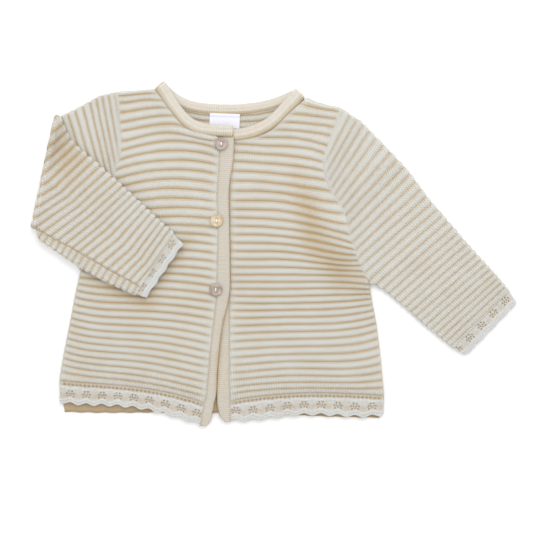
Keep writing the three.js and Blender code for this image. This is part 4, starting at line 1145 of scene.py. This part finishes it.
def neckband(material):
    centres, seams, widths = neck_stations()
    gaps = np.sqrt(np.linalg.norm(np.diff(centres, axis=0), axis=1))
    knots = np.concatenate([[0], np.cumsum(gaps)])
    fine_knots = np.linspace(0, knots[-1], 2000)
    run = run_along(natural_spline(knots, centres, fine_knots))
    wanted = np.linspace(0, run[-1], int(run[-1] / NECK_RIB_PITCH * 6))
    at = np.interp(wanted, run, fine_knots)
    centre = natural_spline(knots, centres, at)
    forward = unit(np.gradient(centre, axis=0))
    side = np.zeros_like(centre)
    for k in (0, 1):
        side[:, k] = np.interp(at, knots, seams[:, k])
    side = unit(side - forward * (side * forward).sum(axis=1)[:, None])
    face = np.cross(forward, side)
    width = np.interp(at, knots, widths)
    fine = 0.5 - 0.5 * cosine(wanted, NECK_RIB_PITCH)
    closing = 0.25 + 0.75 * rounded(np.minimum(wanted, wanted[-1] - wanted) / 1.4)
    swell = closing * (1 - 0.09 * fine)
    on_front = smooth_step((centre[:, 2] - 2.2) / 2)
    half = NECK_HALF_BACK + NECK_HALF_MORE * on_front
    centre[:, 2] += 0.35 * on_front
    # A fuller oval than an ellipse: the band is rolled double.
    angles = np.linspace(0, 2 * np.pi, NECK_SIDES, endpoint=False)
    across, up = (np.sign(wave) * np.abs(wave) ** 0.85 for wave in (np.cos(angles), np.sin(angles)))
    near_turn = smooth_step((np.abs(centre[:, 0] - NECK_MIDDLE_X) - 42) / 12)
    tuck = NECK_TUCK * (1 + 0.8 * near_turn * on_front)
    sewn = np.clip(across, 0, 1)[None, :]
    reach = across[None, :] * (swell * width / 2)[:, None] + tuck[:, None] * sewn
    drop = -sewn ** 3 * (on_front * (NECK_DROP + NECK_TURN_DROP * near_turn))[:, None]
    sections = (
        centre[:, None]
        + side[:, None] * reach[..., None]
        + np.array([0, 0, 1.0]) * drop[..., None]
        + face[:, None] * (swell * half)[:, None, None] * up[None, :, None]
    )
    # Painted shade on the band's sewn side and in its fine ribs' grooves.
    seam_side_shade = smooth_step((across - 0.3) / 0.6)[None, :]
    relief = np.clip(1.05 - 0.34 * fine[:, None] - 0.55 * seam_side_shade, 0, 1.05)
    uv = np.stack(np.broadcast_arrays(wanted[:, None], (angles * 2.2)[None, :]), -1)
    return tube_piece("cloth_neckband", sections, uv, relief, material)


# ---- buttons and label ------------------------------------------------------------------------
def button(name, node, material):
    centre, base, radius = plan_centre(node)
    a, b = np.meshgrid(np.linspace(-1, 1, BUTTON_GRID), np.linspace(-1, 1, BUTTON_GRID), indexing="ij")
    x = a * np.sqrt(1 - b * b / 2) * radius
    y = b * np.sqrt(1 - a * a / 2) * radius
    # Faces over a hole go, and the points left at its rim move onto its circle.
    face_x, face_y = ((q[:-1, :-1] + q[1:, :-1] + q[:-1, 1:] + q[1:, 1:]) / 4 for q in (x, y))
    dropped, _, _ = nearest_of([(face_x, face_y - at, BUTTON_HOLE_RADIUS, True) for at in BUTTON_HOLES_Y])
    dropped = dropped < 0
    gap, gx, gy = nearest_of([(x, y - at, BUTTON_HOLE_RADIUS, True) for at in BUTTON_HOLES_Y])
    touched = np.zeros(x.shape, bool)
    for dr in (0, 1):
        for dc in (0, 1):
            touched[dr : dr + BUTTON_GRID - 1, dc : dc + BUTTON_GRID - 1] |= dropped
    move = np.where(touched & (np.abs(gap) < 0.5), -gap, 0)
    x, y = x + move * gx, y + move * gy
    r = np.hypot(x, y) / radius
    dish = 1.5 + 0.12 * smooth_step((r - 0.4) / 0.3) + 0.55 * bell(r, 0.86, 0.085)
    edge = rounded(1 - (r - 0.88) / 0.12)
    top = dish * (0.45 + 0.55 * edge)
    bottom = 0.55 * (1 - rounded(1 - (r - 0.7) / 0.3))
    middle = np.stack([x + centre[0], y + centre[1], base + (top + bottom) / 2], -1)
    half = np.maximum((top - bottom) / 2, 0.1)
    parts = shell(middle, upward(middle), half, half, np.stack([x, y], -1), 0 * x + 1, dropped=dropped)
    piece = mesh_piece(name, *parts, material)
    dress(piece, node)
    return centre, base


def thread(name, centre, base, material):
    """Strands of sewing thread over the bridge between a button's holes."""
    t = np.linspace(0, 1, 60)
    angle = 2 * np.pi * THREAD_TURNS * t
    y = BUTTON_HOLES_Y[1] * np.cos(angle)
    z = base + 1.25 + 0.95 * np.sin(angle)
    x = 0.55 * (t - 0.5) + 0.05 * np.sin(angle * 2)
    path = np.stack([x + centre[0], y + centre[1], z], -1)
    forward = unit(np.gradient(path, axis=0))
    side = unit(np.cross(forward, np.array([1.0, 0, 0])))
    face = np.cross(forward, side)
    angles = np.linspace(0, 2 * np.pi, 8, endpoint=False)
    ring = np.cos(angles)[None, :, None] * side[:, None] + np.sin(angles)[None, :, None] * face[:, None]
    uv = np.stack(np.broadcast_arrays(t[:, None] * 30, angles[None, :]), -1)
    piece = tube_piece(name, path[:, None] + THREAD_RADIUS * ring, uv, np.ones((60, 8)), material)
    dress(piece, None)


def label(material):
    centre, _, _ = plan_centre("label")
    tilt = math.radians(LABEL_TILT)
    a, b = np.meshgrid(np.linspace(-13, 13, 60), np.linspace(-6.3, 6.3, 40), indexing="xy")
    x = centre[0] + a * math.cos(tilt) - b * math.sin(tilt)
    y = centre[1] + a * math.sin(tilt) + b * math.cos(tilt)
    stitch = bell(b, LABEL_STITCH, 0.35) * (0.5 + 0.5 * sine(a, 1.6))
    z = 2.45 + 0.25 * bell(b, 5.0, 1.1) + 0.15 * np.sin(a / 7) - 0.1 * stitch
    middle = np.stack([x, y, z], -1)
    half = np.full(x.shape, 0.17)
    relief = 1 - 0.35 * bell(b, LABEL_STITCH, 0.5)
    parts = shell(middle, upward(middle), half, half, np.stack([a, b], -1), relief)
    piece = mesh_piece("cloth_label", *parts, material)
    dress(piece, "label")


# ---- materials --------------------------------------------------------------------------------
def wire(tree, kind, inputs=(), **settings):
    """Adds a node: inputs are (socket, value or another node's output)."""
    node = tree.nodes.new(kind)
    for key, value in settings.items():
        setattr(node, key, value)
    for socket, value in inputs:
        if isinstance(value, bpy.types.NodeSocket):
            tree.links.new(value, node.inputs[socket])
        else:
            node.inputs[socket].default_value = value
    return node


def math_node(tree, operation, *values):
    return wire(tree, "ShaderNodeMath", list(enumerate(values)), operation=operation).outputs[0]


def new_material(name, roughness, sheen=0.0, coat=0.0, specular=0.5):
    material = bpy.data.materials.new(name)
    material.use_nodes = True
    tree = material.node_tree
    shader = tree.nodes["Principled BSDF"]
    values = {"Roughness": roughness, "Specular IOR Level": specular}
    if sheen:
        values.update({"Sheen Weight": sheen, "Sheen Roughness": 0.45, "Sheen Tint": (1.0, 0.97, 0.9, 1)})
    if coat:
        values.update({"Coat Weight": coat, "Coat Roughness": 0.12})
    for socket, value in values.items():
        shader.inputs[socket].default_value = value
    return material, tree, shader


def surface(tree, shader, tone, stops, height, strength, distance):
    """Colours a shader through a ramp of (place, colour) and gives it a bump."""
    node = wire(tree, "ShaderNodeValToRGB", [(0, tone)])
    elements = node.color_ramp.elements
    while len(elements) < len(stops):
        elements.new(0.5)
    for element, (place, colour) in zip(elements, stops):
        element.position = place
        element.color = (*colour, 1)
    tree.links.new(node.outputs[0], shader.inputs["Base Color"])
    lump = wire(tree, "ShaderNodeBump", [("Height", height), ("Strength", strength), ("Distance", distance)])
    tree.links.new(lump.outputs[0], shader.inputs["Normal"])


def noise(tree, scale, detail=3.0):
    place = wire(tree, "ShaderNodeTexCoord").outputs["Object"]
    inputs = [("Vector", place), ("Scale", scale), ("Detail", detail)]
    return wire(tree, "ShaderNodeTexNoise", inputs).outputs[0]


def relief_and_uv(tree):
    relief = wire(tree, "ShaderNodeAttribute", attribute_name="relief").outputs["Fac"]
    uv = wire(tree, "ShaderNodeUVMap", uv_map="UVMap").outputs[0]
    parts = wire(tree, "ShaderNodeSeparateXYZ", [(0, uv)])
    return relief, parts.outputs[0], parts.outputs[1]


def knit(name, groove, between, top, stitch=(2.1, 1.75), bump=0.9):
    """A knit: its tone goes from a groove's painted shade to the rib top, and its stitches are small chevrons
    with painted shade between them.
    """
    material, tree, shader = new_material(name, 0.92, sheen=0.35, specular=0.2)

    def calc(operation, *values):
        return math_node(tree, operation, *values)

    def beyond(value, zero, scale):
        return calc("MULTIPLY", calc("SUBTRACT", value, zero), scale)

    relief, u, v = relief_and_uv(tree)
    fuzz = noise(tree, 750.0, 2.0)
    lean = calc("ABSOLUTE", calc("SUBTRACT", calc("FRACT", calc("DIVIDE", v, stitch[1])), 0.5))
    turn = calc("ADD", calc("DIVIDE", u, stitch[0]), lean)
    wave = calc("SINE", calc("MULTIPLY", turn, 2 * math.pi))
    stitches = calc("ADD", calc("MULTIPLY", wave, 0.5), calc("MULTIPLY", fuzz, 0.9))
    tone = calc("ADD", relief, beyond(noise(tree, 40.0), 0.5, 0.28))
    # Painted shade between the stitches, following the chevrons' wave.
    tone = calc("ADD", tone, calc("ADD", beyond(lean, 0.25, -0.5), calc("MULTIPLY", wave, 0.2)))
    tone = calc("ADD", calc("MULTIPLY", tone, 0.92), beyond(fuzz, 0.5, 0.6))
    light = tuple(0.6 * b + 0.4 * a for a, b in zip(between, top))
    stops = [(0.05, groove), (0.5, between), (0.8, light), (1.0, top)]
    surface(tree, shader, tone, stops, stitches, bump, 0.0005)
    return material


def shell_material(name, dark, light):
    """Mottled button shell with a soft gloss."""
    material, tree, shader = new_material(name, 0.32, coat=0.6)
    swirl = noise(tree, 260.0, 5.0)
    between = tuple((a + b) / 2 for a, b in zip(dark, light))
    surface(tree, shader, swirl, [(0.32, dark), (0.5, between), (0.68, light)], swirl, 0.12, 0.0003)
    return material


def tape_material():
    """Fine woven tape."""
    material, tree, shader = new_material("label_tape", 0.55, sheen=0.2)
    relief, u, v = relief_and_uv(tree)
    warp, weft = (math_node(tree, "SINE", math_node(tree, "MULTIPLY", part, 22.0)) for part in (u, v))
    weave = math_node(tree, "MULTIPLY", warp, weft)
    tone = math_node(tree, "ADD", relief, math_node(tree, "MULTIPLY", weave, 0.06))
    stops = [(0.5, (0.56, 0.56, 0.70)), (0.95, (0.77, 0.77, 0.86))]
    surface(tree, shader, tone, stops, weave, 0.2, 0.0002)
    return material


# Painted shade: each knit's ramp starts at a dark tan that stands in for the shade in its grooves.
GROOVE_SHADE = (0.46, 0.31, 0.15)
rib_knit = knit("ribbed_knit", GROOVE_SHADE, (0.55, 0.47, 0.35), (0.675, 0.69, 0.67))
band_knit = knit("plain_knit", GROOVE_SHADE, (0.52, 0.45, 0.355), (0.605, 0.59, 0.54), (0.9, 1.1), 0.4)
neck_knit = knit("fine_rib", (0.40, 0.28, 0.15), (0.54, 0.45, 0.32), (0.67, 0.66, 0.625), (1.5, 1.3), 0.4)
lace_knit = knit("lace_knit", (0.47, 0.36, 0.22), (0.575, 0.51, 0.415), (0.71, 0.75, 0.77), (1.1, 1.2), 0.7)
# Painted shade: a darker, shaded copy of the edging's knit, for the back's edging, which shows only beneath
# the fronts' hems.
shaded_lace_knit = knit(
    "lace_knit_shaded", (0.36, 0.26, 0.15), (0.43, 0.32, 0.195), (0.55, 0.43, 0.28), (1.1, 1.2), 0.5)
thread_material, _, thread_shader = new_material("thread", 0.6, sheen=0.3)
thread_shader.inputs["Base Color"].default_value = (0.93, 0.92, 0.9, 1)

# ---- the garment ------------------------------------------------------------------------------
dress(back_panel(rib_knit), "back")
panel = front_panel("cloth_front_right", FRONT_RIGHT, lift_right, CREASES_RIGHT, PAINTED_SHADING_RIGHT, rib_knit, 1)
dress(panel, "front_right")
panel = front_panel("cloth_front_left", FRONT_LEFT, lift_left, CREASES_LEFT, PAINTED_SHADING_LEFT, rib_knit, 2)
dress(panel, "front_left")
arm = sleeve("cloth_sleeve_left", FRONT_LEFT, SLEEVE_LEFT, -1, (104, 36), 235, [GROOVES_LEFT],
             CREASES_SLEEVE_LEFT, rib_knit, 3)
dress(arm, "sleeve_left")
arm = sleeve("cloth_sleeve_right", FRONT_RIGHT, SLEEVE_RIGHT, 1, (62, 92), 250,
             [GROOVES_UPPER_ARM, GROOVES_FOREARM], CREASES_SLEEVE_RIGHT, rib_knit, 4)
dress(arm, "sleeve_right")
dress(back_hem("cloth_hem_back", shaded_lace_knit), "hem_lace_back")
edging = hem_lace("cloth_hem_right", FRONT_RIGHT[-1], HEM_RIGHT, lift_right, lace_knit)
dress(edging, "hem_lace_right")
edging = hem_lace("cloth_hem_left", FRONT_LEFT[-1], HEM_LEFT, lift_left, lace_knit)
dress(edging, "hem_lace_left")
edging = cuff_lace("cloth_cuff_left", SLEEVE_LEFT, CUFF_LEFT, -1, lace_knit)
dress(edging, "cuff_lace_left")
edging = cuff_lace("cloth_cuff_right", SLEEVE_RIGHT, CUFF_RIGHT, 1, lace_knit)
dress(edging, "cuff_lace_right")
band = front_band("cloth_band_right", FRONT_RIGHT, HEM_RIGHT, BAND_RIGHT, 1, lift_right, band_knit)
dress(band, "band_right")
band = front_band("cloth_band_left", FRONT_LEFT, HEM_LEFT, BAND_LEFT, -1, lift_left, band_knit)
dress(band, "band_left")
dress(neckband(neck_knit), "neckband")
label(tape_material())
BUTTON_TONES = {
    "top": ((0.30, 0.22, 0.19), (0.52, 0.43, 0.38)),
    "middle": ((0.50, 0.37, 0.22), (0.70, 0.58, 0.40)),
    "bottom": ((0.26, 0.20, 0.16), (0.55, 0.44, 0.38)),
}
for place, tones in BUTTON_TONES.items():
    material = shell_material("button_" + place, *tones)
    centre, base = button("shell_button_" + place, "button_" + place, material)
    thread("thread_" + place, centre, base, thread_material)

# ---- floor, light and camera ------------------------------------------------------------------
floor_z = float(CAD_BOX[0][2]) - FLOOR_GAP
bpy.ops.mesh.primitive_plane_add(size=6, location=(0, 0, floor_z))
floor = bpy.context.object
floor.name = "floor"
floor_material, _, floor_shader = new_material("floor", 0.95, specular=0.1)
floor_shader.inputs["Base Color"].default_value = (0.99, 0.99, 0.99, 1)
floor.data.materials.append(floor_material)

scene = bpy.context.scene
scene.view_settings.view_transform = "Standard"
world = bpy.data.worlds.new("studio")
world.use_nodes = True
background = world.node_tree.nodes["Background"].inputs
background[0].default_value = (1, 1, 1, 1)
background[1].default_value = 0.84
scene.world = world


def soft_light(name, place, power, colour):
    data = bpy.data.lights.new(name, "AREA")
    data.shape, data.size, data.energy, data.color = "SQUARE", LIGHT_SIZE, power, colour
    lamp = bpy.data.objects.new(name, data)
    scene.collection.objects.link(lamp)
    lamp.location = place
    way = unit(np.array(place))
    lamp.rotation_euler = (math.acos(way[2]), 0, math.atan2(way[1], way[0]) + math.pi / 2)


soft_light("window", (0.35, 0.95, 1.15), 12.0, (1.0, 0.99, 0.975))
soft_light("fill", (-0.9, -0.2, 1.1), 3.5, (0.96, 0.98, 1.0))

camera_data = bpy.data.cameras.new("camera")
camera = bpy.data.objects.new("camera", camera_data)
scene.collection.objects.link(camera)
camera.location = (VIEW_CENTRE[0] * MM + SHIFT[0], VIEW_CENTRE[1] * MM + SHIFT[1], CAMERA_HEIGHT)
camera_data.sensor_width = SENSOR_WIDTH
camera_data.lens = SENSOR_WIDTH * CAMERA_HEIGHT / (VIEW_WIDTH * MM)
scene.camera = camera
